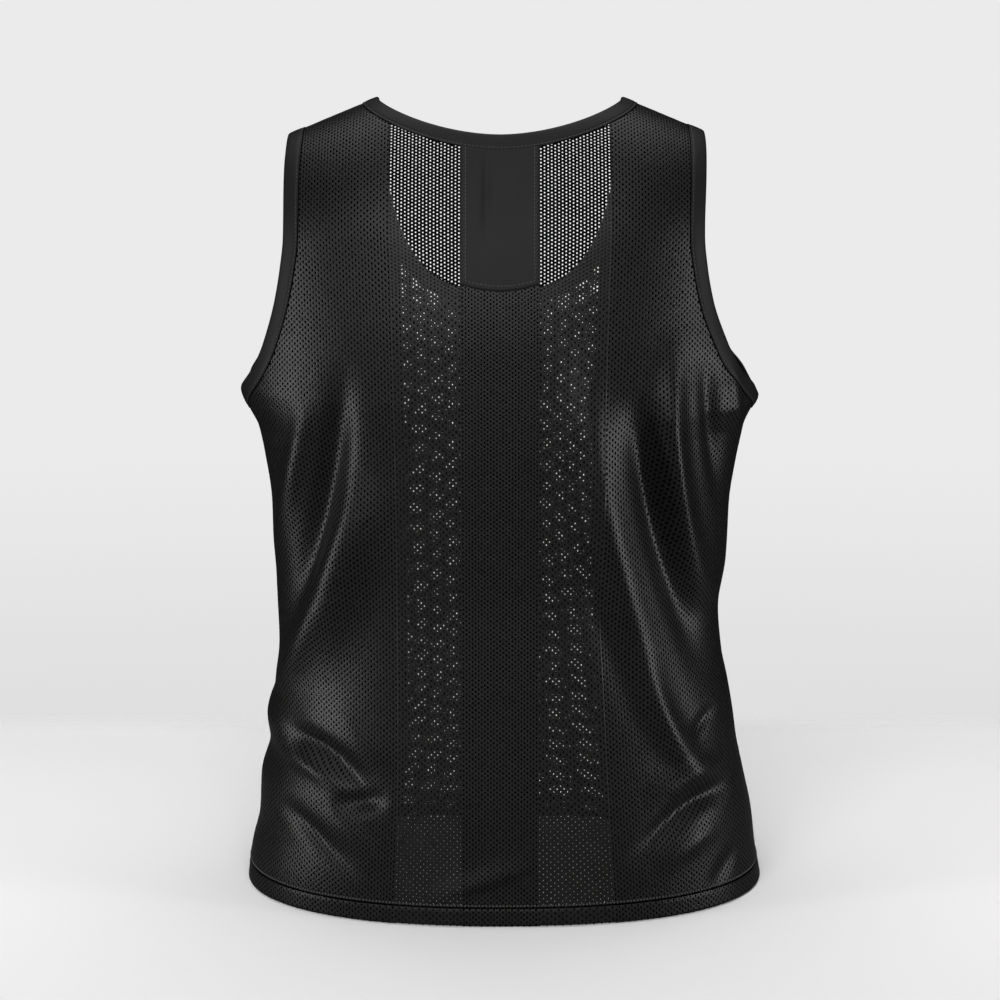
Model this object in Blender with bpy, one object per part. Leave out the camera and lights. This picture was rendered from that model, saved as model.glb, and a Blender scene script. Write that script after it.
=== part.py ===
"""Black mesh training pinnie, filled out as if worn, in metres with +Z up.

The origin lies midway between the two points where the neck meets the
shoulder ridge. The wearer faces +Y, so the back panel is on the -Y side.
"""

import functools
import math

import bmesh
import bpy
import numpy as np

# Driving sizes
HEM_Z = -0.697
UNDERARM_Z = -0.254
NECK_HALF_WIDTH = 0.1045
BACK_NECK_Z = -0.0224
BACK_NECK_POWER = 1.85
FRONT_NECK_Z = -0.186
FRONT_NECK_POWER = 2.8
ARM_TOP_X = {-1: 0.1815, 1: 0.1750}

# Cloth and trim
CLOTH = 0.0015
SEAM_GAP = 0.0003
NECK_BAND = 0.0138
ARM_BAND = 0.0150
HEM_DEPTH = 0.0165
HEM_RAISE = 0.0006
HEM_GROOVE = 0.0006
PATCH_HALF_WIDTH = 0.0332
PATCH_FOOT_Z = -0.147
PATCH_SIDE_RISE = 0.006
PATCH_CLOTH = 0.0011

# Shoulder ridge: a soft roof line, with the arch over it rounder at the straps
RIDGE_TOP = 0.0524
RIDGE_SLOPE = 0.44
RIDGE_SOFT = 0.05
ARCH_STRAP = 0.090
ARCH_CENTRE = 0.185
ARCH_SPREAD = 0.085

# Plan of the body: a superellipse
PLAN_POWER = 2.3
PLAN_ASPECT = 0.6

# Grid of each panel: columns from the middle to a side, and rows up to the ridge.
# The neck's edge turns from its foot to its side at a share of its half-length.
HALF_COLUMNS = 18
NECK_COLUMNS = 11
COLUMN_EASE = 1.178
BODY_ROWS = 13
YOKE = {
    "back": {"low_rows": 12, "strap_rows": 6, "neck_turn": 0.30, "arm_turn": 0.74},
    "front": {"low_rows": 7, "strap_rows": 12, "neck_turn": 0.60, "arm_turn": 0.44},
}
ARM_EASE = 0.45
EDGE_SAMPLES = 300

# Half-widths of the body from the middle, down each side
BODY_WIDTHS = [
    {"z": 0.050, "left": 0.2240, "right": 0.2160},
    {"z": -0.030, "left": 0.2240, "right": 0.2160},
    {"z": -0.056, "left": 0.2245, "right": 0.2145},
    {"z": -0.108, "left": 0.2240, "right": 0.2115},
    {"z": -0.134, "left": 0.2238, "right": 0.2112},
    {"z": -0.161, "left": 0.2240, "right": 0.2120},
    {"z": -0.200, "left": 0.2262, "right": 0.2178},
    {"z": -0.227, "left": 0.2285, "right": 0.2222},
    {"z": -0.240, "left": 0.2286, "right": 0.2250},
    {"z": -0.254, "left": 0.2242, "right": 0.2251},
    {"z": -0.267, "left": 0.2180, "right": 0.2186},
    {"z": -0.280, "left": 0.2116, "right": 0.2125},
    {"z": -0.307, "left": 0.2060, "right": 0.2077},
    {"z": -0.348, "left": 0.2005, "right": 0.2020},
    {"z": -0.400, "left": 0.1985, "right": 0.1998},
    {"z": -0.444, "left": 0.1976, "right": 0.1938},
    {"z": -0.486, "left": 0.1966, "right": 0.1974},
    {"z": -0.514, "left": 0.1999, "right": 0.2033},
    {"z": -0.545, "left": 0.2084, "right": 0.2088},
    {"z": -0.566, "left": 0.2060, "right": 0.2117},
    {"z": -0.600, "left": 0.2145, "right": 0.2190},
    {"z": -0.635, "left": 0.2165, "right": 0.2266},
    {"z": -0.670, "left": 0.2245, "right": 0.2309},
    {"z": -0.720, "left": 0.2300, "right": 0.2400},
]

# Depths of the body from the shoulder ridge's plane to the back and the front
BODY_DEPTHS = [
    {"z": 0.050, "back": 0.090, "front": 0.083},
    {"z": 0.000, "back": 0.098, "front": 0.092},
    {"z": -0.100, "back": 0.113, "front": 0.111},
    {"z": -0.200, "back": 0.125, "front": 0.127},
    {"z": -0.300, "back": 0.127, "front": 0.131},
    {"z": -0.400, "back": 0.127, "front": 0.128},
    {"z": -0.500, "back": 0.132, "front": 0.130},
    {"z": -0.600, "back": 0.139, "front": 0.137},
    {"z": -0.697, "back": 0.144, "front": 0.144},
    {"z": -0.720, "back": 0.145, "front": 0.145},
]

# Share of the body's half-width that each armhole's edge keeps, by height
ARMHOLE_SHARES = [
    {"z": -0.028, "share": 0.810},
    {"z": -0.056, "share": 0.812},
    {"z": -0.082, "share": 0.812},
    {"z": -0.108, "share": 0.814},
    {"z": -0.134, "share": 0.828},
    {"z": -0.161, "share": 0.849},
    {"z": -0.200, "share": 0.890},
    {"z": -0.214, "share": 0.910},
    {"z": -0.227, "share": 0.937},
    {"z": -0.240, "share": 0.972},
    {"z": -0.254, "share": 1.000},
]

# Largest folds: a soft ridge (rise above 0) or trough along a bent line, x and z
FOLDS = [
    {"panel": "back", "name": "left side ridge", "start": (-0.168, -0.308),
     "bend": (-0.175, -0.385), "end": (-0.183, -0.425), "reach": 0.013, "rise": 0.006},
    {"panel": "back", "name": "left drape ridge", "start": (-0.131, -0.325),
     "bend": (-0.152, -0.425), "end": (-0.190, -0.540), "reach": 0.016, "rise": 0.009},
    {"panel": "back", "name": "left side trough", "start": (-0.156, -0.335),
     "bend": (-0.170, -0.430), "end": (-0.190, -0.478), "reach": 0.015, "rise": -0.008},
    {"panel": "back", "name": "left drape trough", "start": (-0.110, -0.400),
     "bend": (-0.140, -0.490), "end": (-0.176, -0.552), "reach": 0.024, "rise": -0.007},
    {"panel": "back", "name": "left waist trough", "start": (-0.192, -0.545),
     "bend": (-0.145, -0.570), "end": (-0.088, -0.612), "reach": 0.017, "rise": -0.008},
    {"panel": "back", "name": "left tongue", "start": (-0.186, -0.562),
     "bend": (-0.152, -0.592), "end": (-0.118, -0.612), "reach": 0.014, "rise": 0.005},
    {"panel": "back", "name": "left hem crease", "start": (-0.188, -0.572),
     "bend": (-0.168, -0.612), "end": (-0.118, -0.668), "reach": 0.014, "rise": -0.007},
    {"panel": "back", "name": "right drape ridge", "start": (0.088, -0.240),
     "bend": (0.112, -0.430), "end": (0.168, -0.590), "reach": 0.015, "rise": 0.010},
    {"panel": "back", "name": "right drape trough", "start": (0.116, -0.275),
     "bend": (0.136, -0.400), "end": (0.176, -0.500), "reach": 0.016, "rise": -0.012},
    {"panel": "back", "name": "right side ridge", "start": (0.143, -0.262),
     "bend": (0.158, -0.385), "end": (0.188, -0.500), "reach": 0.013, "rise": 0.008},
    {"panel": "back", "name": "right waist trough", "start": (0.088, -0.470),
     "bend": (0.118, -0.545), "end": (0.160, -0.592), "reach": 0.018, "rise": -0.006},
    {"panel": "back", "name": "right hem crease", "start": (0.196, -0.612),
     "bend": (0.158, -0.606), "end": (0.120, -0.655), "reach": 0.014, "rise": -0.007},
    {"panel": "front", "name": "left drape ridge", "start": (-0.095, -0.270),
     "bend": (-0.120, -0.440), "end": (-0.176, -0.590), "reach": 0.016, "rise": 0.009},
    {"panel": "front", "name": "left drape trough", "start": (-0.128, -0.290),
     "bend": (-0.146, -0.410), "end": (-0.184, -0.510), "reach": 0.017, "rise": -0.008},
    {"panel": "front", "name": "left hem crease", "start": (-0.194, -0.604),
     "bend": (-0.158, -0.616), "end": (-0.110, -0.660), "reach": 0.015, "rise": -0.006},
    {"panel": "front", "name": "right drape ridge", "start": (0.118, -0.300),
     "bend": (0.140, -0.425), "end": (0.186, -0.535), "reach": 0.016, "rise": 0.009},
    {"panel": "front", "name": "right drape trough", "start": (0.098, -0.380),
     "bend": (0.126, -0.480), "end": (0.170, -0.560), "reach": 0.022, "rise": -0.007},
    {"panel": "front", "name": "right hem crease", "start": (0.196, -0.560),
     "bend": (0.160, -0.610), "end": (0.112, -0.668), "reach": 0.015, "rise": -0.007},
]

FOLD_STRETCHES = 12
FOLD_TAPER = 0.8
SEAM_FADE = 0.05

# Across a binding: share of its width in from the opening's edge, and height over
# the cloth's outside
BAND_SECTION = [
    {"share": -0.03, "lift": -0.0008},
    {"share": 0.04, "lift": 0.0005},
    {"share": 0.30, "lift": 0.0010},
    {"share": 0.72, "lift": 0.0010},
    {"share": 1.00, "lift": 0.0006},
    {"share": 1.00, "lift": -0.0021},
    {"share": 0.72, "lift": -0.0025},
    {"share": 0.30, "lift": -0.0025},
    {"share": 0.04, "lift": -0.0021},
]

MATERIALS = {
    "mesh_knit": {"color": (0.016, 0.016, 0.017, 1.0), "roughness": 0.85},
    "binding_knit": {"color": (0.022, 0.022, 0.023, 1.0), "roughness": 0.75},
    "plain_knit": {"color": (0.020, 0.020, 0.021, 1.0), "roughness": 0.80},
}

FACING = {"back": -1.0, "front": 1.0}


def smooth_column(table, column):
    """A function that follows one column of a table by monotone cubics over z."""
    rows = sorted(table, key=lambda row: row["z"])
    zs = np.array([row["z"] for row in rows])
    values = np.array([row[column] for row in rows])
    steps = np.diff(zs)
    slopes = np.diff(values) / steps
    tangents = np.empty_like(values)
    tangents[0] = slopes[0]
    tangents[-1] = slopes[-1]
    before, after = slopes[:-1], slopes[1:]
    same_way = before * after > 0.0
    safe_before = np.where(same_way, before, 1.0)
    safe_after = np.where(same_way, after, 1.0)
    blend = 2.0 / (1.0 / safe_before + 1.0 / safe_after)
    tangents[1:-1] = np.where(same_way, blend, 0.0)

    def value(z):
        z = np.clip(z, zs[0], zs[-1])
        i = np.clip(np.searchsorted(zs, z) - 1, 0, len(steps) - 1)
        u = (z - zs[i]) / steps[i]
        low = values[i] * (1.0 + 2.0 * u) * (1.0 - u) ** 2
        high = values[i + 1] * u * u * (3.0 - 2.0 * u)
        bend = steps[i] * u * (1.0 - u) * (tangents[i] * (1.0 - u) - tangents[i + 1] * u)
        return low + high + bend

    return value


WIDTH = {-1: smooth_column(BODY_WIDTHS, "left"), 1: smooth_column(BODY_WIDTHS, "right")}
DEPTH = {"back": smooth_column(BODY_DEPTHS, "back"), "front": smooth_column(BODY_DEPTHS, "front")}
ARM_SHARE = smooth_column(ARMHOLE_SHARES, "share")


def plan_table(samples=2000):
    """The unit superellipse's quarter, by share of its length from the middle to the side."""
    angle = np.linspace(0.0, math.pi / 2, samples)
    across = np.sin(angle) ** (2.0 / PLAN_POWER)
    deep = np.cos(angle) ** (2.0 / PLAN_POWER)
    run = np.hypot(np.diff(across), PLAN_ASPECT * np.diff(deep))
    share = np.concatenate([[0.0], np.cumsum(run)])
    return share / share[-1], across, deep


PLAN_SHARE, PLAN_ACROSS, PLAN_DEEP = plan_table()


def plan_across(sigma):
    """Plan position across, 0 in the middle and 1 at the side; it folds back past 1."""
    size = np.abs(sigma)
    return np.interp(np.where(size > 1.0, 2.0 - size, size), PLAN_SHARE, PLAN_ACROSS)


def plan_deep(sigma):
    """Plan depth, 1 in the middle and 0 at the side; it turns negative past 1."""
    size = np.abs(sigma)
    deep = np.interp(np.where(size > 1.0, 2.0 - size, size), PLAN_SHARE, PLAN_DEEP)
    return np.where(size > 1.0, -deep, deep)


def side_width(sigma, z):
    """Half-width of the body at a height, on the side that sigma lies on."""
    return np.where(np.asarray(sigma) < 0.0, WIDTH[-1](z), WIDTH[1](z))


def ridge_z(x):
    """Height of the shoulder ridge."""
    return RIDGE_TOP - RIDGE_SLOPE * np.sqrt(x * x + RIDGE_SOFT ** 2)


def ridge_of(sigma):
    """Height of the ridge above a column, and the size of the arch below it."""
    x = side_width(sigma, 0.0) * plan_across(sigma)
    arch = ARCH_STRAP + (ARCH_CENTRE - ARCH_STRAP) * np.exp(-(x / ARCH_SPREAD) ** 2)
    return ridge_z(x), arch


def height_of(sigma, v):
    """Height at the way v down from the ridge."""
    top, arch = ridge_of(sigma)
    turned = np.minimum(np.abs(v) / arch, math.pi / 2)
    below = np.maximum(np.abs(v) - arch * math.pi / 2, 0.0)
    return top - arch * (1.0 - np.cos(turned)) - below


def way_down(sigma, z):
    """The way down from the ridge that reaches a height."""
    top, arch = ridge_of(sigma)
    drop = top - z
    in_arch = arch * np.arccos(np.clip(1.0 - drop / arch, 0.0, 1.0))
    return np.where(drop < arch, in_arch, arch * math.pi / 2 + drop - arch)


def bare_surface(panel, sigma, v):
    """Point on the smooth body, without folds."""
    sigma = np.asarray(sigma, dtype=float)
    v = np.asarray(v, dtype=float)
    arch = ridge_of(sigma)[1]
    z = height_of(sigma, v)
    x = np.sign(sigma) * side_width(sigma, z) * plan_across(sigma)
    turned = np.clip(v / arch, -math.pi / 2, math.pi / 2)
    y = FACING[panel] * DEPTH[panel](z) * plan_deep(sigma) * np.sin(turned)
    return np.stack([x, y, z], axis=-1)


def slopes_at(panel, sigma, v, step=2e-4):
    """Change of the smooth surface with sigma and with v."""
    by_sigma = bare_surface(panel, sigma + step, v) - bare_surface(panel, sigma - step, v)
    by_v = bare_surface(panel, sigma, v + step) - bare_surface(panel, sigma, v - step)
    return by_sigma / (2 * step), by_v / (2 * step)


def outward(panel, sigma, v):
    """Unit normal that points out of the body."""
    by_sigma, by_v = slopes_at(panel, sigma, v)
    normal = np.cross(by_v, by_sigma) * -FACING[panel]
    return normal / np.linalg.norm(normal, axis=-1, keepdims=True)


def fold_route(fold):
    """A fold's bent line as short straight stretches."""
    line = np.linspace(0.0, 1.0, FOLD_STRETCHES + 1)[:, None]
    start, bend, end = (np.array(fold[key]) for key in ("start", "bend", "end"))
    return (1 - line) ** 2 * start + 2 * line * (1 - line) * bend + line ** 2 * end


def one_fold(fold, spots):
    """Height of one fold, which fades out along its line and beside it."""
    route = fold_route(fold)
    nearest = np.full(spots.shape[:-1], np.inf)
    place = np.zeros(spots.shape[:-1])
    for k in range(FOLD_STRETCHES):
        along = route[k + 1] - route[k]
        from_start = spots - route[k]
        share = np.clip(np.sum(from_start * along, axis=-1) / np.sum(along * along), 0.0, 1.0)
        away = np.sum((from_start - share[..., None] * along) ** 2, axis=-1)
        closer = away < nearest
        nearest = np.where(closer, away, nearest)
        place = np.where(closer, (k + share) / FOLD_STRETCHES, place)
    taper = np.sin(math.pi * place) ** FOLD_TAPER
    return fold["rise"] * taper * np.exp(-nearest / fold["reach"] ** 2)


def fold_height(panel, sigma, points):
    """Height of the folds over the smooth body; they fade out at the side seams."""
    total = np.zeros(points.shape[:-1])
    for fold in FOLDS:
        if fold["panel"] == panel:
            total += one_fold(fold, points[..., [0, 2]])
    return total * (1.0 - np.exp(-((1.0 - np.abs(sigma)) / SEAM_FADE) ** 2))


def cloth_point(panel, sigma, v, lift=0.0):
    """Point of the folded cloth, raised by lift over its outside."""
    base = bare_surface(panel, sigma, v)
    height = fold_height(panel, sigma, base) + lift
    return base + outward(panel, sigma, v) * np.asarray(height)[..., None]


def sigma_at(x, z):
    """Parameter across for a position across at a height."""
    width = np.where(x < 0.0, WIDTH[-1](z), WIDTH[1](z))
    return np.sign(x) * np.interp(np.abs(x) / width, PLAN_ACROSS, PLAN_SHARE)


def length_shares(points):
    """Share of a line's length at each of its points."""
    run = np.concatenate([[0.0], np.cumsum(np.linalg.norm(np.diff(points, axis=0), axis=1))])
    return run / run[-1]


def evenly(panel, sigma, v, count=EDGE_SAMPLES):
    """The same line with its points evenly spaced."""
    shares = length_shares(bare_surface(panel, sigma, v))
    even = np.linspace(0.0, 1.0, count + 1)
    return np.stack([np.interp(even, shares, sigma), np.interp(even, shares, v)], axis=-1)


def half_neck_edge(panel, side):
    """Opening's edge of one panel at the neck, from the ridge to the middle."""
    turn = np.linspace(0.0, math.pi / 2, 800)
    top = ridge_z(NECK_HALF_WIDTH)
    if panel == "back":
        x = NECK_HALF_WIDTH * np.cos(turn)
        z = BACK_NECK_Z + (top - BACK_NECK_Z) * np.cos(turn) ** BACK_NECK_POWER
    else:
        x = NECK_HALF_WIDTH * np.cos(turn) ** (2 / FRONT_NECK_POWER)
        z = top + (FRONT_NECK_Z - top) * np.sin(turn) ** (2 / FRONT_NECK_POWER)
    sigma = sigma_at(side * x, z)
    v = way_down(sigma, z)
    v[0] = 0.0
    sigma[-1] = 0.0
    return evenly(panel, sigma, v)


def arm_edge(panel, side):
    """Opening's edge of one panel at an armhole, from the underarm up to the ridge."""
    turn = np.linspace(0.0, math.pi, 800)
    top = ridge_z(ARM_TOP_X[side])
    z = UNDERARM_Z + (top - UNDERARM_Z) * (1.0 - np.cos(turn)) / 2
    sigma = side * np.interp(ARM_SHARE(z), PLAN_ACROSS, PLAN_SHARE)
    sigma[0] = side
    v = way_down(sigma, z)
    v[-1] = 0.0
    return evenly(panel, sigma, v)


def moved_in(panel, edge, way, away_from, fixed):
    """A line moved over the cloth by a way, square to itself and away from an opening."""
    line = edge.copy()
    steps = 8
    for _ in range(steps):
        points = bare_surface(panel, line[:, 0], line[:, 1])
        along = np.gradient(points, axis=0)
        normal = outward(panel, line[:, 0], line[:, 1])
        across = np.cross(normal, along)
        across /= np.linalg.norm(across, axis=1, keepdims=True)
        flip = np.sign(np.sum(across * (points - away_from), axis=1, keepdims=True))
        wanted = across * flip * way / steps
        by_sigma, by_v = slopes_at(panel, line[:, 0], line[:, 1])
        ss = np.sum(by_sigma * by_sigma, axis=1)
        vv = np.sum(by_v * by_v, axis=1)
        sv = np.sum(by_sigma * by_v, axis=1)
        ws = np.sum(wanted * by_sigma, axis=1)
        wv = np.sum(wanted * by_v, axis=1)
        scale = ss * vv - sv * sv
        line[:, 0] += (ws * vv - wv * sv) / scale
        line[:, 1] += (wv * ss - ws * sv) / scale
        for row, column, value in fixed:
            line[row, column] = value
    return line


def picked(line, shares):
    """Points of an evenly spaced line at given shares of its first edge's length."""
    even = np.linspace(0.0, 1.0, len(line))
    return np.stack([np.interp(shares, even, line[:, k]) for k in (0, 1)], axis=-1)


def eased(count, ease):
    """Shares from 0 to 1, closer together at both ends."""
    t = np.linspace(0.0, 1.0, count + 1)
    return t - ease * np.sin(2 * math.pi * t) / (2 * math.pi)


def half_neck_line(panel, side, way):
    """Half of the neck's edge moved into the cloth, from the ridge to the middle."""
    edge = half_neck_edge(panel, side)
    centre = np.array([0.0, 0.0, 0.04])
    line = moved_in(panel, edge, way, centre, [(0, 1, 0.0), (-1, 0, 0.0)])
    turn = YOKE[panel]["neck_turn"]
    down = turn * np.linspace(0.0, 1.0, YOKE[panel]["strap_rows"] + 1)
    foot = turn + (1.0 - turn) * np.linspace(0.0, 1.0, NECK_COLUMNS + 1)
    return picked(line, np.concatenate([down, foot[1:]]))


def neck_line(panel, way):
    """The neck's edge moved into the cloth, from the left ridge to the right one."""
    left = half_neck_line(panel, -1, way)
    right = half_neck_line(panel, 1, way)
    return np.concatenate([left, right[-2::-1]])


def arm_edge_line(side, panel, way):
    """An armhole's moved edge, with the side named first."""
    return arm_line(panel, side, way)


def arm_line(panel, side, way):
    """An armhole's edge moved into the cloth, from the underarm up to the ridge."""
    edge = arm_edge(panel, side)
    centre = np.array([side * 0.26, 0.0, -0.14])
    line = moved_in(panel, edge, way, centre, [(0, 0, side), (-1, 1, 0.0)])
    turn = YOKE[panel]["arm_turn"]
    full = eased(YOKE[panel]["low_rows"] + YOKE[panel]["strap_rows"], ARM_EASE)
    split = full[YOKE[panel]["low_rows"]]
    return picked(line, np.where(full < split, full * turn / split,
                                 turn + (full - split) * (1.0 - turn) / (1.0 - split)))


def seam_step(panel, sigma, v, column):
    """Change of one parameter that leaves half the seam's gap."""
    slope = slopes_at(panel, sigma, v)[column]
    return SEAM_GAP / 2 / np.linalg.norm(slope, axis=-1)


def column_shares():
    """Places of the panel's columns, closer together towards the sides."""
    u = np.linspace(-1.0, 1.0, 2 * HALF_COLUMNS + 1)
    return np.sin(u * COLUMN_EASE) / math.sin(COLUMN_EASE)


def blended_rows(bottom, top, left, right, shares):
    """Grid of parameters between four edges, the rows from bottom to top."""
    t = np.linspace(0.0, 1.0, len(left))[:, None, None]
    s = shares[None, :, None]
    ruled = (1 - t) * bottom[None] + t * top[None]
    sides = (1 - s) * left[:, None] + s * right[:, None]
    corners = ((1 - t) * ((1 - s) * bottom[0] + s * bottom[-1])
               + t * ((1 - s) * top[0] + s * top[-1]))
    return ruled + sides - corners


def hem_rows():
    """Heights of the hem's rows over its edge, with each row's lift."""
    return [
        {"rise": 0.0, "lift": 0.0},
        {"rise": 0.0016, "lift": HEM_RAISE},
        {"rise": HEM_DEPTH - 0.0016, "lift": HEM_RAISE},
        {"rise": HEM_DEPTH, "lift": -HEM_GROOVE},
        {"rise": HEM_DEPTH + 0.0020, "lift": 0.0},
    ]


def body_rows(panel, chest_z):
    """Level rows from the hem to the chest, and the lift of each."""
    rows = []
    body = hem_rows()
    low = HEM_Z + body[-1]["rise"]
    for z in np.linspace(low, chest_z, BODY_ROWS + 1)[1:]:
        body.append({"rise": z - HEM_Z, "lift": 0.0})
    for row in body:
        sigma = column_shares()
        v = way_down(sigma, HEM_Z + row["rise"])
        for end in (0, -1):
            sigma[end] -= np.sign(sigma[end]) * seam_step(panel, sigma[end], v[end], 0)
        rows.append(np.stack([sigma, v], axis=-1))
    return rows, [row["lift"] for row in body]


def panel_grid(panel):
    """Parameters and lifts of a panel's grid; it has no points inside the neck."""
    sizes = YOKE[panel]
    arms = {side: arm_line(panel, side, ARM_BAND + SEAM_GAP) for side in (-1, 1)}
    necks = {side: half_neck_line(panel, side, NECK_BAND + SEAM_GAP) for side in (-1, 1)}
    chest_z = float(height_of(np.array(1.0), arms[1][0, 1]))
    rows, lifts = body_rows(panel, chest_z)
    last = 2 * HALF_COLUMNS
    strap = HALF_COLUMNS - NECK_COLUMNS
    shares = np.linspace(0.0, 1.0, strap + 1)
    arms[-1][0] = rows[-1][0]
    arms[1][0] = rows[-1][-1]
    low, down = sizes["low_rows"], sizes["strap_rows"]
    for side in (-1, 1):
        for line in (arms[side][-1], necks[side][0]):
            line[1] += seam_step(panel, line[0], line[1], 1)
    across = {side: np.linspace(arms[side][low], necks[side][down], strap + 1) for side in (-1, 1)}
    foot = np.concatenate([necks[-1][down + 1:], necks[1][-2:down:-1]])
    top = np.concatenate([across[-1], foot, across[1][::-1]])
    column_span = (column_shares() + 1.0) / 2
    yoke = blended_rows(rows[-1], top, arms[-1][:low + 1], arms[1][:low + 1], column_span)
    rows.extend(yoke[1:])
    straps = {}
    for side in (-1, 1):
        ridge = np.linspace(arms[side][-1], necks[side][0], strap + 1)
        ridge[:, 1] = seam_step(panel, ridge[:, 0], np.zeros(strap + 1), 1)
        inner = necks[side][down::-1]
        straps[side] = blended_rows(across[side], ridge, arms[side][low:], inner, shares)
    for k in range(1, down + 1):
        row = np.full((last + 1, 2), np.nan)
        row[:strap + 1] = straps[-1][k]
        row[last - strap:] = straps[1][k][::-1]
        rows.append(row)
    grid = np.array(rows)
    lift = np.zeros(grid.shape[:2])
    lift[:len(lifts)] = np.array(lifts)[:, None]
    return grid, lift


def wall_mesh(name, outer, inner):
    """Closed wall between two grids of points; cells with a missing corner stay open."""
    mesh = bpy.data.meshes.new(name)
    bm = bmesh.new()
    there = ~np.isnan(outer[..., 0])
    rows, columns = there.shape
    spots = [(i, j) for i in range(rows) for j in range(columns) if there[i, j]]
    out = {spot: bm.verts.new(outer[spot]) for spot in spots}
    ins = {spot: bm.verts.new(inner[spot]) for spot in spots}
    sides = {}
    for i in range(rows - 1):
        for j in range(columns - 1):
            cell = [(i, j), (i, j + 1), (i + 1, j + 1), (i + 1, j)]
            if not all(there[spot] for spot in cell):
                continue
            bm.faces.new([out[spot] for spot in cell])
            bm.faces.new([ins[spot] for spot in reversed(cell)])
            for start, end in zip(cell, cell[1:] + cell[:1]):
                if (end, start) in sides:
                    del sides[(end, start)]
                else:
                    sides[(start, end)] = True
    for start, end in sides:
        bm.faces.new((out[end], out[start], ins[start], ins[end]))
    bmesh.ops.triangulate(bm, faces=bm.faces[:])
    bmesh.ops.recalc_face_normals(bm, faces=bm.faces[:])
    bm.to_mesh(mesh)
    bm.free()
    return mesh


def ring_mesh(name, rings):
    """Closed tube through rings of points that run round a loop."""
    mesh = bpy.data.meshes.new(name)
    bm = bmesh.new()
    verts = [[bm.verts.new(point) for point in ring] for ring in rings]
    for i, ring in enumerate(verts):
        following = verts[(i + 1) % len(verts)]
        for k in range(len(ring)):
            m = (k + 1) % len(ring)
            bm.faces.new((ring[k], ring[m], following[m], following[k]))
    bmesh.ops.triangulate(bm, faces=bm.faces[:])
    bmesh.ops.recalc_face_normals(bm, faces=bm.faces[:])
    bm.to_mesh(mesh)
    bm.free()
    return mesh


def make_material(name):
    """Principled material from the table."""
    material = bpy.data.materials.new(name)
    material.use_nodes = True
    shader = material.node_tree.nodes["Principled BSDF"]
    shader.inputs["Base Color"].default_value = MATERIALS[name]["color"]
    shader.inputs["Roughness"].default_value = MATERIALS[name]["roughness"]
    shader.inputs["Metallic"].default_value = 0.0
    return material


def add_object(mesh, material, collection, parent):
    """Object for a mesh, shaded smooth and parented."""
    obj = bpy.data.objects.new(mesh.name, mesh)
    mesh.materials.append(material)
    mesh.shade_smooth()
    mesh.set_sharp_from_angle(angle=math.radians(50))
    collection.objects.link(obj)
    obj.parent = parent
    return obj


def panel_mesh(panel):
    """One panel with its turned hem."""
    grid, lifts = panel_grid(panel)
    outer = cloth_point(panel, grid[..., 0], grid[..., 1], lifts)
    hem = np.clip(lifts / HEM_RAISE, 0.0, 1.0)
    inner = cloth_point(panel, grid[..., 0], grid[..., 1], -CLOTH - hem * HEM_RAISE)
    return wall_mesh(panel + "_panel", outer, inner)


def band_mesh(name, edge_line, width):
    """Folded tape round an opening: along the back panel's edge, then the front one's."""
    halves = []
    for panel in ("back", "front"):
        spots = []
        for spot in BAND_SECTION:
            line = edge_line(panel, spot["share"] * width)
            spots.append(cloth_point(panel, line[:, 0], line[:, 1], spot["lift"]))
        halves.append(np.stack(spots, axis=1))
    back, front = halves
    return ring_mesh(name, np.concatenate([back, front[::-1][1:-1]]))


def patch_mesh():
    """Plain piece on the upper back, from the neck binding to a rounded foot."""
    shares = np.linspace(-1.0, 1.0, 9)
    neck = neck_line("back", NECK_BAND + SEAM_GAP)
    neck_points = bare_surface("back", neck[:, 0], neck[:, 1])
    x = shares * PATCH_HALF_WIDTH
    top_z = np.interp(x, neck_points[:, 0], neck_points[:, 2]) - SEAM_GAP
    foot_z = PATCH_FOOT_Z + PATCH_SIDE_RISE * shares ** 2
    rows = []
    for t in np.linspace(0.0, 1.0, 15):
        z = foot_z + t * (top_z - foot_z)
        sigma = sigma_at(x, z)
        rows.append(np.stack([sigma, way_down(sigma, z)], axis=-1))
    grid = np.array(rows)
    low = cloth_point("back", grid[..., 0], grid[..., 1], 2 * SEAM_GAP)
    high = cloth_point("back", grid[..., 0], grid[..., 1], 2 * SEAM_GAP + PATCH_CLOTH)
    return wall_mesh("back_patch", high, low)


def build():
    """Make the pinnie."""
    for obj in list(bpy.data.objects):
        bpy.data.objects.remove(obj, do_unlink=True)
    collection = bpy.data.collections.new("pinnie")
    bpy.context.scene.collection.children.link(collection)
    hanger = bpy.data.objects.new("pinnie_origin", None)
    collection.objects.link(hanger)
    knit = make_material("mesh_knit")
    tape = make_material("binding_knit")
    plain = make_material("plain_knit")
    add_object(panel_mesh("back"), knit, collection, hanger)
    add_object(panel_mesh("front"), knit, collection, hanger)
    add_object(band_mesh("neck_binding", neck_line, NECK_BAND), tape, collection, hanger)
    for side, name in ((-1, "armhole_binding_left"), (1, "armhole_binding_right")):
        edge_line = functools.partial(arm_edge_line, side)
        add_object(band_mesh(name, edge_line, ARM_BAND), tape, collection, hanger)
    add_object(patch_mesh(), plain, collection, hanger)


build()
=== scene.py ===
"""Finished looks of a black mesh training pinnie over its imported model, in metres, +Z up.

The garment is filled out as if worn. The wearer faces +Y, so the back panel is on the
-Y side, where the camera stands. The origin lies between the two neck points.
"""

import math

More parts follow.
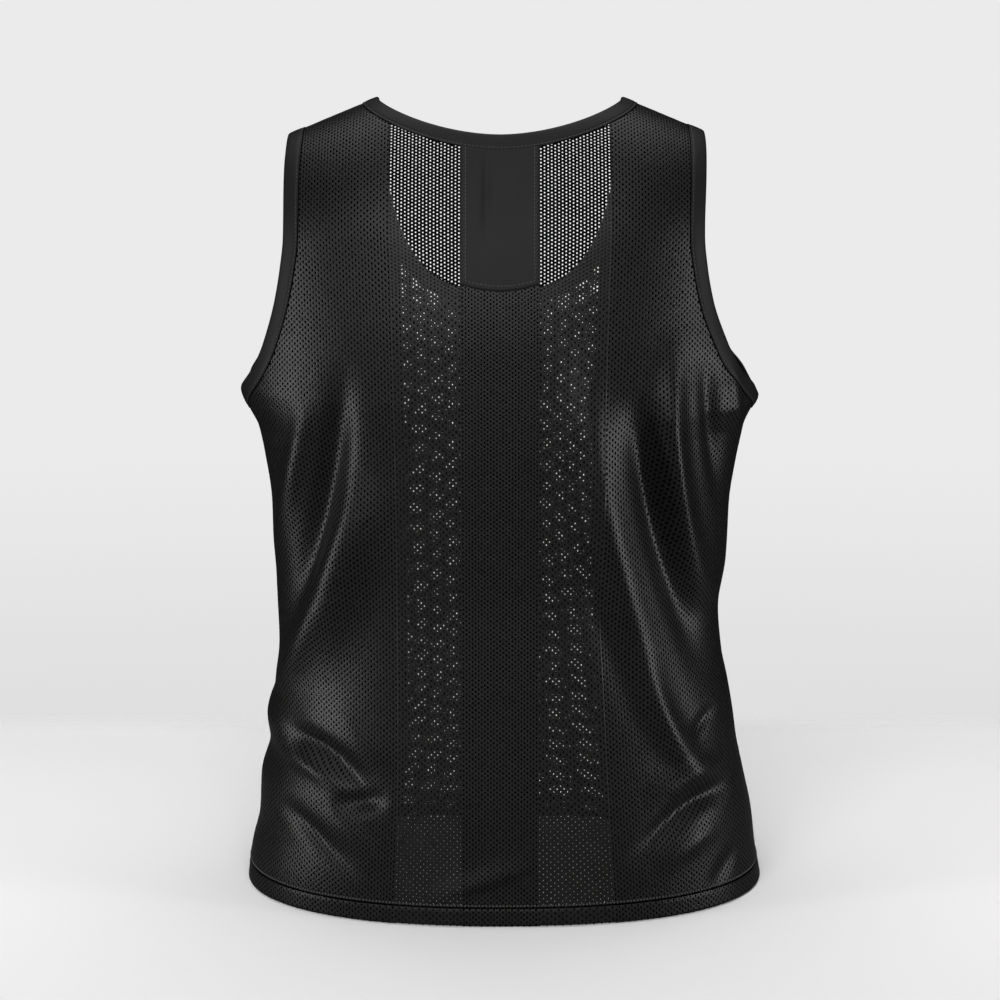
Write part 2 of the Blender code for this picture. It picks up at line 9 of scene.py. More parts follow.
import bpy
import numpy as np
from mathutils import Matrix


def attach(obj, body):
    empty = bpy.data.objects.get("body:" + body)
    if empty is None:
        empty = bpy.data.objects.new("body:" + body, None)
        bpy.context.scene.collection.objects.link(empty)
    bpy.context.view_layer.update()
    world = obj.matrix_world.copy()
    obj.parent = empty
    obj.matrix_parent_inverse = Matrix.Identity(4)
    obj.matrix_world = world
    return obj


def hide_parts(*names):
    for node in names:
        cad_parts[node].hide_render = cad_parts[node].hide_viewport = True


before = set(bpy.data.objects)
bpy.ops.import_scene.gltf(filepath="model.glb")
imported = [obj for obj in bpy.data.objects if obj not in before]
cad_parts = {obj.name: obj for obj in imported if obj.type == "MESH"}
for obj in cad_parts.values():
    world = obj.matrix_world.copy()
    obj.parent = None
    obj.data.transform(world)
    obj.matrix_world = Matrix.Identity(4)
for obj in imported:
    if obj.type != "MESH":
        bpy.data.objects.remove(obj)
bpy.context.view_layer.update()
MM = 0.001
MM_IN_METRE = 1000

# ---- driving sizes

HEM_Z = -0.697
UNDERARM_Z = -0.254
NECK_HALF_WIDTH = 0.1045
BACK_NECK_Z = -0.0224
BACK_NECK_POWER = 1.85
FRONT_NECK_Z = -0.186
FRONT_NECK_POWER = 2.8
ARM_TOP_X = {-1: 0.1815, 1: 0.1750}
SEAM_GAP = 0.0003
NECK_BAND = 0.0138
ARM_BAND = 0.0150
HEM_DEPTH = 0.0165
PATCH_HALF_WIDTH = 0.0332
PATCH_FOOT_Z = -0.147
PATCH_SIDE_RISE = 0.006

# Shoulder ridge, and the arch of the cloth over it
RIDGE_TOP = 0.0524
RIDGE_SLOPE = 0.44
RIDGE_SOFT = 0.05
ARCH_STRAP = 0.090
ARCH_CENTRE = 0.185
ARCH_SPREAD = 0.085

# Plan of the body: a superellipse
PLAN_POWER = 2.3
PLAN_ASPECT = 0.6

# Height, and half-widths of the body from the middle to the left and the right side
BODY_WIDTHS = [
    (0.050, 0.2240, 0.2160),
    (-0.030, 0.2240, 0.2160),
    (-0.056, 0.2245, 0.2145),
    (-0.108, 0.2240, 0.2115),
    (-0.134, 0.2238, 0.2112),
    (-0.161, 0.2240, 0.2120),
    (-0.200, 0.2262, 0.2178),
    (-0.227, 0.2285, 0.2222),
    (-0.240, 0.2286, 0.2250),
    (-0.254, 0.2242, 0.2251),
    (-0.267, 0.2180, 0.2186),
    (-0.280, 0.2116, 0.2125),
    (-0.307, 0.2060, 0.2077),
    (-0.348, 0.2005, 0.2020),
    (-0.400, 0.1985, 0.1998),
    (-0.444, 0.1976, 0.1938),
    (-0.486, 0.1966, 0.1974),
    (-0.514, 0.1999, 0.2033),
    (-0.545, 0.2084, 0.2088),
    (-0.566, 0.2060, 0.2117),
    (-0.600, 0.2145, 0.2190),
    (-0.635, 0.2165, 0.2266),
    (-0.670, 0.2245, 0.2309),
    (-0.720, 0.2300, 0.2400),
]

# Height, and depths of the body from the ridge's plane to the back and the front
BODY_DEPTHS = [
    (0.050, 0.090, 0.083),
    (0.000, 0.098, 0.092),
    (-0.100, 0.113, 0.111),
    (-0.200, 0.125, 0.127),
    (-0.300, 0.127, 0.131),
    (-0.400, 0.127, 0.128),
    (-0.500, 0.132, 0.130),
    (-0.600, 0.139, 0.137),
    (-0.697, 0.144, 0.144),
    (-0.720, 0.145, 0.145),
]

# Height, and share of the body's half-width that each armhole's edge keeps there
ARMHOLE_SHARES = [
    (-0.028, 0.810),
    (-0.056, 0.812),
    (-0.082, 0.812),
    (-0.108, 0.814),
    (-0.134, 0.828),
    (-0.161, 0.849),
    (-0.200, 0.890),
    (-0.214, 0.910),
    (-0.227, 0.937),
    (-0.240, 0.972),
    (-0.254, 1.000),
]

# How much further in an armhole's edge lies on the front
FRONT_ARM_IN = {"back": 0.0, "front": 0.02}

# Folds and creases in mm, soft ridges or troughs along bent lines: x and z of the line's
# start, bend and end, half-width, rise (negative in a trough), and skew where one side is
# steeper
FOLDS = {
    "back": [
        ("left side ridge", (-164, -239), (-176, -310), (-198, -413), 9, 7),
        ("left side trough", (-128, -200), (-144, -345), (-200, -500), 12, -12),
        ("left drape ridge", (-114, -300), (-131, -372), (-192, -524), 20, 14, 0.2),
        ("left drape end", (-153, -411), (-179, -479), (-197, -533), 10, 6),
        ("left waist trough", (-196, -540), (-159, -542), (-101, -592), 12, -13),
        ("left waist ridge", (-147, -511), (-128, -529), (-93, -565), 10, 1.5),
        ("left tongue", (-203, -562), (-165, -563), (-128, -584), 10, 5),
        ("left wedge", (-147, -599), (-118, -590), (-93, -587), 9, -6),
        ("left hem crease", (-196, -606), (-170, -615), (-119, -664), 9, -4.5),
        ("left hem ridge", (-158, -602), (-134, -614), (-93, -655), 10, 2),
        ("centre hem crease", (-73, -677), (-21, -663), (45, -637), 8, 2.2, 0.5),
        ("right drape ridge", (68, -185), (73, -349), (156, -566), 18, 13),
        ("right drape end", (115, -450), (136, -540), (192, -594), 11, 8),
        ("right drape trough", (112, -227), (122, -330), (190, -520), 14, -15),
        ("right side ridge", (150, -180), (126, -315), (184, -438), 12, 15),
        ("right side trough", (174, -202), (176, -258), (196, -369), 8, -6),
        ("right armhole ridge", (194, -200), (200, -240), (210, -310), 6, 3),
        ("right inner trough", (76, -341), (80, -429), (145, -557), 16, -5),
        ("right nick", (165, -543), (175, -534), (190, -519), 6, -4),
        ("right hip ridge", (121, -590), (169, -571), (201, -569), 12, 5),
        ("right hem crease", (208, -600), (172, -580), (109, -648), 10, -9),
        ("right hem ridge", (132, -655), (164, -634), (201, -621), 10, 3),
        ("right corner crease", (211, -642), (197, -669), (184, -681), 7, -3),
        ("patch wrinkle", (-11, -25), (-11, -60), (-12, -110), 3.5, -1.2),
    ],
    "front": [
        ("left drape ridge", (-90, -240), (-112, -430), (-172, -600), 25, 13, 0.45),
        ("left drape trough", (-124, -280), (-140, -400), (-180, -520), 15, -7),
        ("left side ridge", (-155, -225), (-138, -310), (-186, -440), 12, 6.5, 0.4),
        ("left inner trough", (-88, -460), (-108, -535), (-144, -585), 17, -5),
        ("left hip ridge", (-192, -580), (-150, -592), (-116, -622), 12, 4),
        ("left hem crease", (-198, -600), (-155, -606), (-110, -662), 11, -8),
        ("right drape ridge", (106, -290), (138, -425), (188, -550), 23, 12, -0.45),
        ("right drape end", (160, -475), (174, -515), (194, -542), 9, 4),
        ("right side trough", (145, -300), (158, -390), (184, -455), 12, -7),
        ("right side ridge", (160, -270), (164, -355), (186, -430), 10, 5, -0.35),
        ("right waist trough", (200, -535), (156, -566), (92, -610), 12, -8),
        ("right tongue", (194, -556), (152, -594), (106, -612), 12, 5),
        ("right hem crease", (192, -596), (158, -636), (108, -684), 10, -6),
    ],
}

FOLD_STRETCHES = 12
FOLD_TAPER = 1.4
SEAM_FADE = 0.05
EDGE_SAMPLES = 220
TURN_SAMPLES = 800
FACING = {"back": -1.0, "front": 1.0}
SIDES = {"left": -1, "right": 1}

# ---- the net's pattern

# Across a panel, from its middle: a close stripe, an open column and a close outer part
STRIPE_EDGE = 0.0325
COLUMN_EDGE = 0.0920
# Height, and where the open columns end to the left and to the right
COLUMN_EDGES = [
    (0.030, 0.1000, 0.0985),
    (-0.130, 0.0913, 0.0915),
    (-0.400, 0.0873, 0.0850),
    (-0.530, 0.0873, 0.0900),
    (-0.697, 0.0920, 0.1000),
]
# Each net has holes in columns, across apart. Down a column they are up apart, and each
# column lies half a step lower than the next. A hole's half-width and half-height are
# shares of its cell. The tables go by the flat height over the hem's foot. In an open net
# the inner part of each hole, its pin share, is see-through, and the ring of the hole
# outside it is painted near-black, as painted shade of the garment's dark inside. The pin
# share is smallest near the hem, so there more of each hole is painted shade. The other
# nets' holes are shut by sunken lids painted near-black in the same way. The shares and
# the front's own cells are set so that both nets together look as bright and as dotted as
# in the photo.
NETS = {
    "stripe": {"across": 0.065 / 25, "up": [(0.0, 0.0044), (0.55, 0.0034)],
               "holes": [(0.0, 0.29, 0.29)], "rim": -0.00018},
    "column": {"across": 0.0595 / 20, "up": [(0.0, 0.0054), (0.538, 0.0054), (0.545, 0.0031)],
               "holes": [(0.538, 0.28, 0.23), (0.545, 0.25, 0.25)], "rim": -0.00010,
               "pin": [(0.080, 0.48), (0.110, 0.58), (0.538, 0.58), (0.545, 1.0)]},
    "far_column": {"across": 0.0595 / 22, "up": [(0.0, 0.0045)],
                   "holes": [(0.0, 0.35, 0.30)], "rim": -0.00010,
                   "pin": [(0.0, 0.90)], "place_spread": 0.3 * MM},
    "outer": {"across": 0.00280, "up": [(0.0, 0.0046)],
              "holes": [(0.0, 0.29, 0.28)], "rim": -0.00020},
    "far_outer": {"across": 0.00360, "up": [(0.0, 0.0058)],
                  "holes": [(0.0, 0.29, 0.28)], "rim": -0.00020},
}
NET_CREST = 0.00010
POINTED = 0.9
GROWTH_SPREAD = 0.05
PLACE_SPREAD = 0.03 * MM
MOST_SHIFT = 0.5 * MM
SMALLEST_FACE = 1e-10
FIRST_SEED = 11

# The flat cut's grid, and the height over which its wales run straight up
STRAIGHT_Z = -0.10
LATTICE_STEP = 0.002
HALF_PATTERN = 0.300
PATTERN_LENGTH = 0.800
PATTERN_LEVELS = 61
WALE_SAMPLES = 500
PAST_RIDGE = -0.03
PAST_TOP = np.array([0.0, 0.02])
BELOW_FOOT = -0.05
TUCK = 0.0050

# The hem: radius of its turned foot, how far its band stands out, and the stitching's groove
HEM_ROLL = 0.0007
HEM_RAISE = {"height": 0.0004, "ease": 0.0015}
HEM_GROOVE = {"depth": 0.0007, "reach": 0.0011}

CAMERA = {"place": (0.0, -2.5, 0.243), "pitch": -13.4, "lens": 104.688, "sensor": 36.0}
FAR_NECK_Y = 0.12


def smooth_column(table, column):
    """A function that follows one column of a table by monotone cubics over its heights."""
    rows = np.array(sorted(table))
    zs, values = rows[:, 0], rows[:, column]
    steps = np.diff(zs)
    slopes = np.diff(values) / steps
    tangents = np.empty_like(values)
    tangents[0] = slopes[0]
    tangents[-1] = slopes[-1]
    before, after = slopes[:-1], slopes[1:]
    same_way = before * after > 0.0
    safe_before = np.where(same_way, before, 1.0)
    safe_after = np.where(same_way, after, 1.0)
    blend = 2.0 / (1.0 / safe_before + 1.0 / safe_after)
    tangents[1:-1] = np.where(same_way, blend, 0.0)

    def value(z):
        z = np.clip(z, zs[0], zs[-1])
        i = np.clip(np.searchsorted(zs, z) - 1, 0, len(steps) - 1)
        u = (z - zs[i]) / steps[i]
        low = values[i] * (1.0 + 2.0 * u) * (1.0 - u) ** 2
        high = values[i + 1] * u * u * (3.0 - 2.0 * u)
        bend = steps[i] * u * (1.0 - u) * (tangents[i] * (1.0 - u) - tangents[i + 1] * u)
        return low + high + bend

    return value


WIDTH = {-1: smooth_column(BODY_WIDTHS, 1), 1: smooth_column(BODY_WIDTHS, 2)}
DEPTH = {"back": smooth_column(BODY_DEPTHS, 1), "front": smooth_column(BODY_DEPTHS, 2)}
ARM_SHARE = smooth_column(ARMHOLE_SHARES, 1)
COLUMN_SIDE = {-1: smooth_column(COLUMN_EDGES, 1), 1: smooth_column(COLUMN_EDGES, 2)}


def plan_table(samples=2000):
    """The unit superellipse's quarter, by share of its length from the middle to the side."""
    angle = np.linspace(0.0, math.pi / 2, samples)
    across = np.sin(angle) ** (2.0 / PLAN_POWER)
    deep = np.cos(angle) ** (2.0 / PLAN_POWER)
    run = np.hypot(np.diff(across), PLAN_ASPECT * np.diff(deep))
    share = np.concatenate([[0.0], np.cumsum(run)])
    return share / share[-1], across, deep


PLAN_SHARE, PLAN_ACROSS, PLAN_DEEP = plan_table()


def plan_across(sigma):
    """Plan position across, 0 in the middle and 1 at the side; it folds back past 1."""
    size = np.abs(sigma)
    return np.interp(np.where(size > 1.0, 2.0 - size, size), PLAN_SHARE, PLAN_ACROSS)


def plan_deep(sigma):
    """Plan depth, 1 in the middle and 0 at the side; it turns negative past 1."""
    size = np.abs(sigma)
    deep = np.interp(np.where(size > 1.0, 2.0 - size, size), PLAN_SHARE, PLAN_DEEP)
    return np.where(size > 1.0, -deep, deep)


def side_width(sigma, z):
    """Half-width of the body at a height, on the side that sigma lies on."""
    return np.where(np.asarray(sigma) < 0.0, WIDTH[-1](z), WIDTH[1](z))


def ridge_z(x):
    """Height of the shoulder ridge."""
    return RIDGE_TOP - RIDGE_SLOPE * np.sqrt(x * x + RIDGE_SOFT ** 2)


def ridge_of(sigma):
    """Height of the ridge above a column, and the size of the arch below it."""
    x = side_width(sigma, 0.0) * plan_across(sigma)
    arch = ARCH_STRAP + (ARCH_CENTRE - ARCH_STRAP) * np.exp(-(x / ARCH_SPREAD) ** 2)
    return ridge_z(x), arch


def height_of(sigma, v):
    """Height at the way v down from the ridge."""
    top, arch = ridge_of(sigma)
    turned = np.minimum(np.abs(v) / arch, math.pi / 2)
    below = np.maximum(np.abs(v) - arch * math.pi / 2, 0.0)
    return top - arch * (1.0 - np.cos(turned)) - below


def way_down(sigma, z):
    """The way down from the ridge that reaches a height."""
    top, arch = ridge_of(sigma)
    drop = top - z
    in_arch = arch * np.arccos(np.clip(1.0 - drop / arch, 0.0, 1.0))
    return np.where(drop < arch, in_arch, arch * math.pi / 2 + drop - arch)


def bare_surface(panel, sigma, v):
    """Point on the smooth body, without folds."""
    sigma = np.asarray(sigma, dtype=float)
    v = np.asarray(v, dtype=float)
    arch = ridge_of(sigma)[1]
    z = height_of(sigma, v)
    x = np.sign(sigma) * side_width(sigma, z) * plan_across(sigma)
    turned = np.clip(v / arch, -math.pi / 2, math.pi / 2)
    y = FACING[panel] * DEPTH[panel](z) * plan_deep(sigma) * np.sin(turned)
    return np.stack([x, y, z], axis=-1)


def slopes_at(panel, sigma, v, step=2e-4):
    """Change of the smooth surface with sigma and with v."""
    by_sigma = bare_surface(panel, sigma + step, v) - bare_surface(panel, sigma - step, v)
    by_v = bare_surface(panel, sigma, v + step) - bare_surface(panel, sigma, v - step)
    return by_sigma / (2 * step), by_v / (2 * step)


def outward(panel, sigma, v):
    """Unit normal that points out of the body."""
    by_sigma, by_v = slopes_at(panel, sigma, v)
    return unit(np.cross(by_v, by_sigma) * -FACING[panel])


def unit(vectors):
    """The same directions with length 1."""
    return vectors / np.linalg.norm(vectors, axis=-1, keepdims=True)


def fold_route(*places):
    """A fold's bent line as short straight stretches."""
    line = np.linspace(0.0, 1.0, FOLD_STRETCHES + 1)[:, None]
    start, bend, end = np.array(places) / MM_IN_METRE
    return (1 - line) ** 2 * start + 2 * line * (1 - line) * bend + line ** 2 * end


def one_fold(spots, start, bend, end, reach, rise, skew=0.0):
    """Height of one fold, which fades out along its line and beside it."""
    route = fold_route(start, bend, end)
    nearest = np.full(spots.shape[:-1], np.inf)
    place = np.zeros(spots.shape[:-1])
    left_of = np.zeros(spots.shape[:-1])
    for k in range(FOLD_STRETCHES):
        along = route[k + 1] - route[k]
        from_start = spots - route[k]
        share = np.clip(np.sum(from_start * along, axis=-1) / np.sum(along * along), 0.0, 1.0)
        away = np.sum((from_start - share[..., None] * along) ** 2, axis=-1)
        closer = away < nearest
        nearest = np.where(closer, away, nearest)
        place = np.where(closer, (k + share) / FOLD_STRETCHES, place)
        turn = along[0] * from_start[..., 1] - along[1] * from_start[..., 0]
        left_of = np.where(closer, np.sign(turn), left_of)
    taper = np.sin(math.pi * place) ** FOLD_TAPER
    reach = reach / MM_IN_METRE * (1.0 + skew * left_of)
    return rise / MM_IN_METRE * taper * np.exp(-nearest / reach ** 2)


def fold_height(panel, sigma, points):
    """Height of the folds over the smooth body; they fade out at the side seams."""
    total = np.zeros(points.shape[:-1])
    for _, *fold in FOLDS[panel]:
        total += one_fold(points[..., [0, 2]], *fold)
    return total * (1.0 - np.exp(-((1.0 - np.abs(sigma)) / SEAM_FADE) ** 2))


def cloth_point(panel, sigma, v, lift=0.0):
    """Point of the folded cloth, raised by lift over its outside."""
    base = bare_surface(panel, sigma, v)
    height = fold_height(panel, sigma, base) + lift
    return base + outward(panel, sigma, v) * np.asarray(height)[..., None]


def sigma_at(x, z):
    """Parameter across for a position across at a height."""
    return np.sign(x) * np.interp(np.abs(x) / side_width(x, z), PLAN_ACROSS, PLAN_SHARE)


def run_along(points):
    """Length of a line up to each of its points."""
    steps = np.linalg.norm(np.diff(points, axis=0), axis=1)
    return np.concatenate([[0.0], np.cumsum(steps)])


def evenly(panel, sigma, v, count=EDGE_SAMPLES):
    """The same line with its points evenly spaced."""
    run = run_along(bare_surface(panel, sigma, v))
    even = np.linspace(0.0, run[-1], count + 1)
    return np.stack([np.interp(even, run, sigma), np.interp(even, run, v)], axis=-1)


def half_neck_edge(panel, side):
    """Opening's edge of one panel at the neck, from the ridge to the middle."""
    turn = np.linspace(0.0, math.pi / 2, TURN_SAMPLES)
    top = ridge_z(NECK_HALF_WIDTH)
    if panel == "back":
        x = NECK_HALF_WIDTH * np.cos(turn)
        z = BACK_NECK_Z + (top - BACK_NECK_Z) * np.cos(turn) ** BACK_NECK_POWER
    else:
        x = NECK_HALF_WIDTH * np.cos(turn) ** (2 / FRONT_NECK_POWER)
        z = top + (FRONT_NECK_Z - top) * np.sin(turn) ** (2 / FRONT_NECK_POWER)
    sigma = sigma_at(side * x, z)
    v = way_down(sigma, z)
    v[0] = 0.0
    sigma[-1] = 0.0
    return evenly(panel, sigma, v)


def arm_edge(panel, side):
    """Opening's edge of one panel at an armhole, from the underarm up to the ridge."""
    turn = np.linspace(0.0, math.pi, TURN_SAMPLES)
    top = ridge_z(ARM_TOP_X[side])
    z = UNDERARM_Z + (top - UNDERARM_Z) * (1.0 - np.cos(turn)) / 2
    share = ARM_SHARE(z) * (1.0 - FRONT_ARM_IN[panel] * np.sin(turn))
    sigma = side * np.interp(share, PLAN_ACROSS, PLAN_SHARE)
    sigma[0] = side
    v = way_down(sigma, z)
    v[-1] = 0.0
    return evenly(panel, sigma, v)


def moved_in(panel, edge, way, away_from, fixed):
    """A line moved over the cloth by a way, square to itself and away from an opening."""
    line = edge.copy()
    steps = 8
    for _ in range(steps):
        points = bare_surface(panel, *line.T)
        along = np.gradient(points, axis=0)
        normal = outward(panel, *line.T)
        across = unit(np.cross(normal, along))
        flip = np.sign(np.sum(across * (points - away_from), axis=1, keepdims=True))
        wanted = across * flip * way / steps
        by_sigma, by_v = slopes_at(panel, *line.T)
        pairs = [(by_sigma, by_sigma), (by_v, by_v), (by_sigma, by_v)]
        pairs += [(wanted, by_sigma), (wanted, by_v)]
        ss, vv, sv, ws, wv = (np.sum(one * other, axis=1) for one, other in pairs)
        scale = ss * vv - sv * sv
        line[:, 0] += (ws * vv - wv * sv) / scale
        line[:, 1] += (wv * ss - ws * sv) / scale
        for row, column, value in fixed:
            line[row, column] = value
    return line


def half_neck_line(panel, side, way):
    """Half of the neck's edge moved into the cloth, from the ridge to the middle."""
    centre = np.array([0.0, 0.0, 0.04])
    edge = half_neck_edge(panel, side)
    return moved_in(panel, edge, way, centre, [(0, 1, 0.0), (-1, 0, 0.0)])


def neck_line(panel, way):
    """The neck's edge moved into the cloth, from the left ridge to the right one."""
    left = half_neck_line(panel, -1, way)
    right = half_neck_line(panel, 1, way)
    return np.concatenate([left, right[-2::-1]])


def arm_line(side, panel, way):
    """An armhole's edge moved into the cloth, from the underarm up to the ridge."""
    centre = np.array([side * 0.26, 0.0, -0.14])
    edge = arm_edge(panel, side)
    return moved_in(panel, edge, way, centre, [(0, 0, side), (-1, 1, 0.0)])


class Pattern:
    """A panel's flat cut laid over the body: p is the way across from its middle line
    along the cloth, and q the way up from the hem's foot along the wales."""

    def __init__(self, panel):
        self.panel = panel
        self.p = np.arange(-HALF_PATTERN, HALF_PATTERN + LATTICE_STEP / 2, LATTICE_STEP)
        self.q = np.arange(0.0, PATTERN_LENGTH, LATTICE_STEP)
        self.levels = np.linspace(HEM_Z, STRAIGHT_Z, PATTERN_LEVELS)
        self.across = np.linspace(0.0, 1.12, WALE_SAMPLES)
        self.tables = {side: [self.across_table(side, z) for z in self.levels] for side in (-1, 1)}
        self.wales = self.wale_table()
        self.lay_out()
        self.seam_sides()

    def across_table(self, side, z):
        """Flat way across at each of the samples across, at one height."""
        sigma = side * self.across
        points = bare_surface(self.panel, sigma, way_down(sigma, z))
        arc = run_along(points)
        x = np.abs(points[:, 0])
        edge = COLUMN_SIDE[side](z)
        near = x[self.across <= 1.0]
        edge_arc = np.interp(edge, near, arc[self.across <= 1.0])
        squeeze = (COLUMN_EDGE - STRIPE_EDGE) / (edge - STRIPE_EDGE)
        column = STRIPE_EDGE + (x - STRIPE_EDGE) * squeeze
        outer = COLUMN_EDGE + arc - edge_arc
        return np.where(arc > edge_arc, outer, np.where(x > STRIPE_EDGE, column, x))

    def wale_table(self):
        """Parameter across of each wale at each level."""
        wales = np.empty((len(self.p), len(self.levels)))
        for i, p in enumerate(self.p):
            side = -1 if p < 0.0 else 1
            for k, table in enumerate(self.tables[side]):
                wales[i, k] = side * np.interp(abs(p), table, self.across)
        return wales

    def sigma_of(self, row, z):
        """Parameter across of the wales in a row of the table, at their heights."""
        step = self.levels[1] - self.levels[0]
        spot = np.clip((z - self.levels[0]) / step, 0.0, len(self.levels) - 1.001)
        k = spot.astype(int)
        low = self.wales[row, k] + (self.wales[row, k + 1] - self.wales[row, k]) * (spot - k)
        top = self.wales[:, -1]
        top_x = np.sign(top) * side_width(top, STRAIGHT_Z) * plan_across(top)
        high = sigma_at(top_x[row], z)
        return np.where((z > STRAIGHT_Z) & (np.abs(top[row]) < 1.0), high, low)

    def lay_out(self):
        """Places and normals of the cloth at the nodes of an even flat grid."""
        rows = np.arange(len(self.p))[:, None] * np.ones((1, WALE_SAMPLES), dtype=int)
        hem_sigma = self.wales[:, 0]
        hem_v = way_down(hem_sigma, HEM_Z)
        t = np.linspace(0.0, 1.0, WALE_SAMPLES)[None, :]
        v = hem_v[:, None] * (1.0 - t) + PAST_RIDGE * t
        sigma = np.repeat(hem_sigma[:, None], WALE_SAMPLES, axis=1)
        for _ in range(8):
            sigma = self.sigma_of(rows, height_of(sigma, v))
        points = bare_surface(self.panel, sigma, v)
        steps = np.linalg.norm(np.diff(points, axis=1), axis=-1)
        run = np.concatenate([np.zeros((len(self.p), 1)), np.cumsum(steps, axis=1)], axis=1)
        self.sigma = np.array([np.interp(self.q, *wale) for wale in zip(run, sigma)])
        self.v = np.array([np.interp(self.q, *wale) for wale in zip(run, v)])
        self.ridge = np.array([np.interp(0.0, *wale) for wale in zip(-v, run)])
        self.points = cloth_point(self.panel, self.sigma, self.v)
        by_p = np.gradient(self.points, axis=0)
        by_q = np.gradient(self.points, axis=1)
        flip = FACING[self.panel]
        self.normals = unit(np.cross(by_q, by_p) * flip)
        self.ups = unit(by_q)

    def seam_sides(self):
        """The side seams' flat places, from the hem up to the underarm."""
        self.seams = {}
        for side in (-1, 1):
            z = np.linspace(HEM_Z, UNDERARM_Z + 0.01, 120)
            sigma = np.full(z.shape, side * 1.0)
            self.seams[side] = self.flat(sigma, way_down(sigma, z))

    def flat(self, sigma, v):
        """Flat places of spots on the body."""
        found = np.empty((len(sigma), 2))
        heights = height_of(sigma, v)
        for n, (one_sigma, one_v, z) in enumerate(zip(sigma, v, heights)):
            side = -1 if one_sigma < 0.0 else 1
            if z > STRAIGHT_Z:
                x = side_width(one_sigma, z) * plan_across(one_sigma)
                level_sigma = sigma_at(np.array(side * x), STRAIGHT_Z)
                p = np.interp(abs(level_sigma), self.across, self.tables[side][-1])
            else:
                spot = (z - self.levels[0]) / (self.levels[1] - self.levels[0])
                k = int(np.clip(spot, 0, len(self.levels) - 2))
                low, high = (np.interp(abs(one_sigma), self.across, self.tables[side][m])
                             for m in (k, k + 1))
                p = low + (high - low) * (spot - k)
            column = (side * p - self.p[0]) / LATTICE_STEP
            i = int(np.clip(column, 0, len(self.p) - 2))
            wale_v = self.v[i] + (self.v[i + 1] - self.v[i]) * (column - i)
            found[n] = side * p, np.interp(-one_v, -wale_v, self.q)
        return found

    def looked_up(self, table, p, q):
        """Values of a table between its nodes."""
        column = np.clip((p - self.p[0]) / LATTICE_STEP, 0.0, len(self.p) - 1.001)
        row = np.clip(q / LATTICE_STEP, 0.0, len(self.q) - 1.001)
        i, k = column.astype(int), row.astype(int)
        a, b = (column - i)[..., None], (row - k)[..., None]
        low = table[i, k] * (1 - a) + table[i + 1, k] * a
        high = table[i, k + 1] * (1 - a) + table[i + 1, k + 1] * a
        return low * (1 - b) + high * b

    def inside(self, p, q):
        """The same places, brought inside the side seams and the shoulder seam."""
        height = np.where(q < 0.0, turned_up(q), q + HEM_ROLL)
        for side in (-1, 1):
            limit = np.interp(height, self.seams[side][:, 1], side * self.seams[side][:, 0])
            below_arm = height < self.seams[side][-1, 1]
            cut = np.where(below_arm, limit - SEAM_GAP / 2, HALF_PATTERN)
            p = np.where(side * p > cut, side * cut, p)
        ridge = np.interp(p, self.p, self.ridge) - SEAM_GAP / 2 - HEM_ROLL
        return p, np.minimum(q, ridge)

    def place(self, p, q, lift):
        """Point of the cloth at a flat place; below its foot the hem turns up inside."""
        height = np.where(q < 0.0, turned_up(q), q + HEM_ROLL)
        base = self.looked_up(self.points, p, height)
        normal = unit(self.looked_up(self.normals, p, height))
        up = unit(self.looked_up(self.ups, p, height))
        turn = np.clip(-q / HEM_ROLL, 0.0, math.pi)[..., None]
        face = np.cos(turn) * normal - np.sin(turn) * up
        relief = hem_relief(height) * np.cos(turn[..., 0])
        return base - normal * HEM_ROLL + face * (HEM_ROLL + relief + lift)[..., None]

    def outline(self):
        """Flat outline of the cut, some way under the bindings."""
        lines = []
        for side in (1, -1):
            arm = arm_line(side, self.panel, ARM_BAND - TUCK)[::6]
            lines.append(self.flat(*arm.T))
        right, left = lines
        neck = self.flat(*neck_line(self.panel, NECK_BAND - TUCK)[::-6].T)
        top_right = [right[-1] + PAST_TOP, neck[0] + PAST_TOP]
        top_left = [neck[-1] + PAST_TOP, left[-1] + PAST_TOP]
        foot_left = [[-HALF_PATTERN, left[0, 1]], [-HALF_PATTERN, BELOW_FOOT]]
        foot_right = [[HALF_PATTERN, BELOW_FOOT], [HALF_PATTERN, right[0, 1]]]
        return np.concatenate([right, top_right, neck, top_left, left[::-1], foot_left, foot_right])


def turned_up(q):
    """Height over the hem's foot of the turned-up layer and of the roll, for q below 0."""
    return HEM_ROLL + np.maximum(-q - math.pi * HEM_ROLL, 0.0)


def hem_relief(height):
    """The hem stands out a little, with a groove along its stitching."""
    band = HEM_RAISE["height"] * np.clip((HEM_DEPTH - height) / HEM_RAISE["ease"], 0.0, 1.0)
    dip = HEM_GROOVE["depth"] * np.exp(-((height - HEM_DEPTH) / HEM_GROOVE["reach"]) ** 2)
    return band - dip


def within(outline, p, q):
    """Whether each flat place lies inside an outline."""
    inside = np.zeros(p.shape, dtype=bool)
    for (x0, y0), (x1, y1) in zip(outline, np.roll(outline, -1, axis=0)):
        if y0 == y1:
            continue
        crosses = (y0 > q) != (y1 > q)
        inside ^= crosses & (p < x0 + (q - y0) * (x1 - x0) / (y1 - y0))
    return inside


# ---- making pieces


def placed(name, data):
    """New object in the scene."""
    thing = bpy.data.objects.new(name, data)
    bpy.context.scene.collection.objects.link(thing)
    return thing


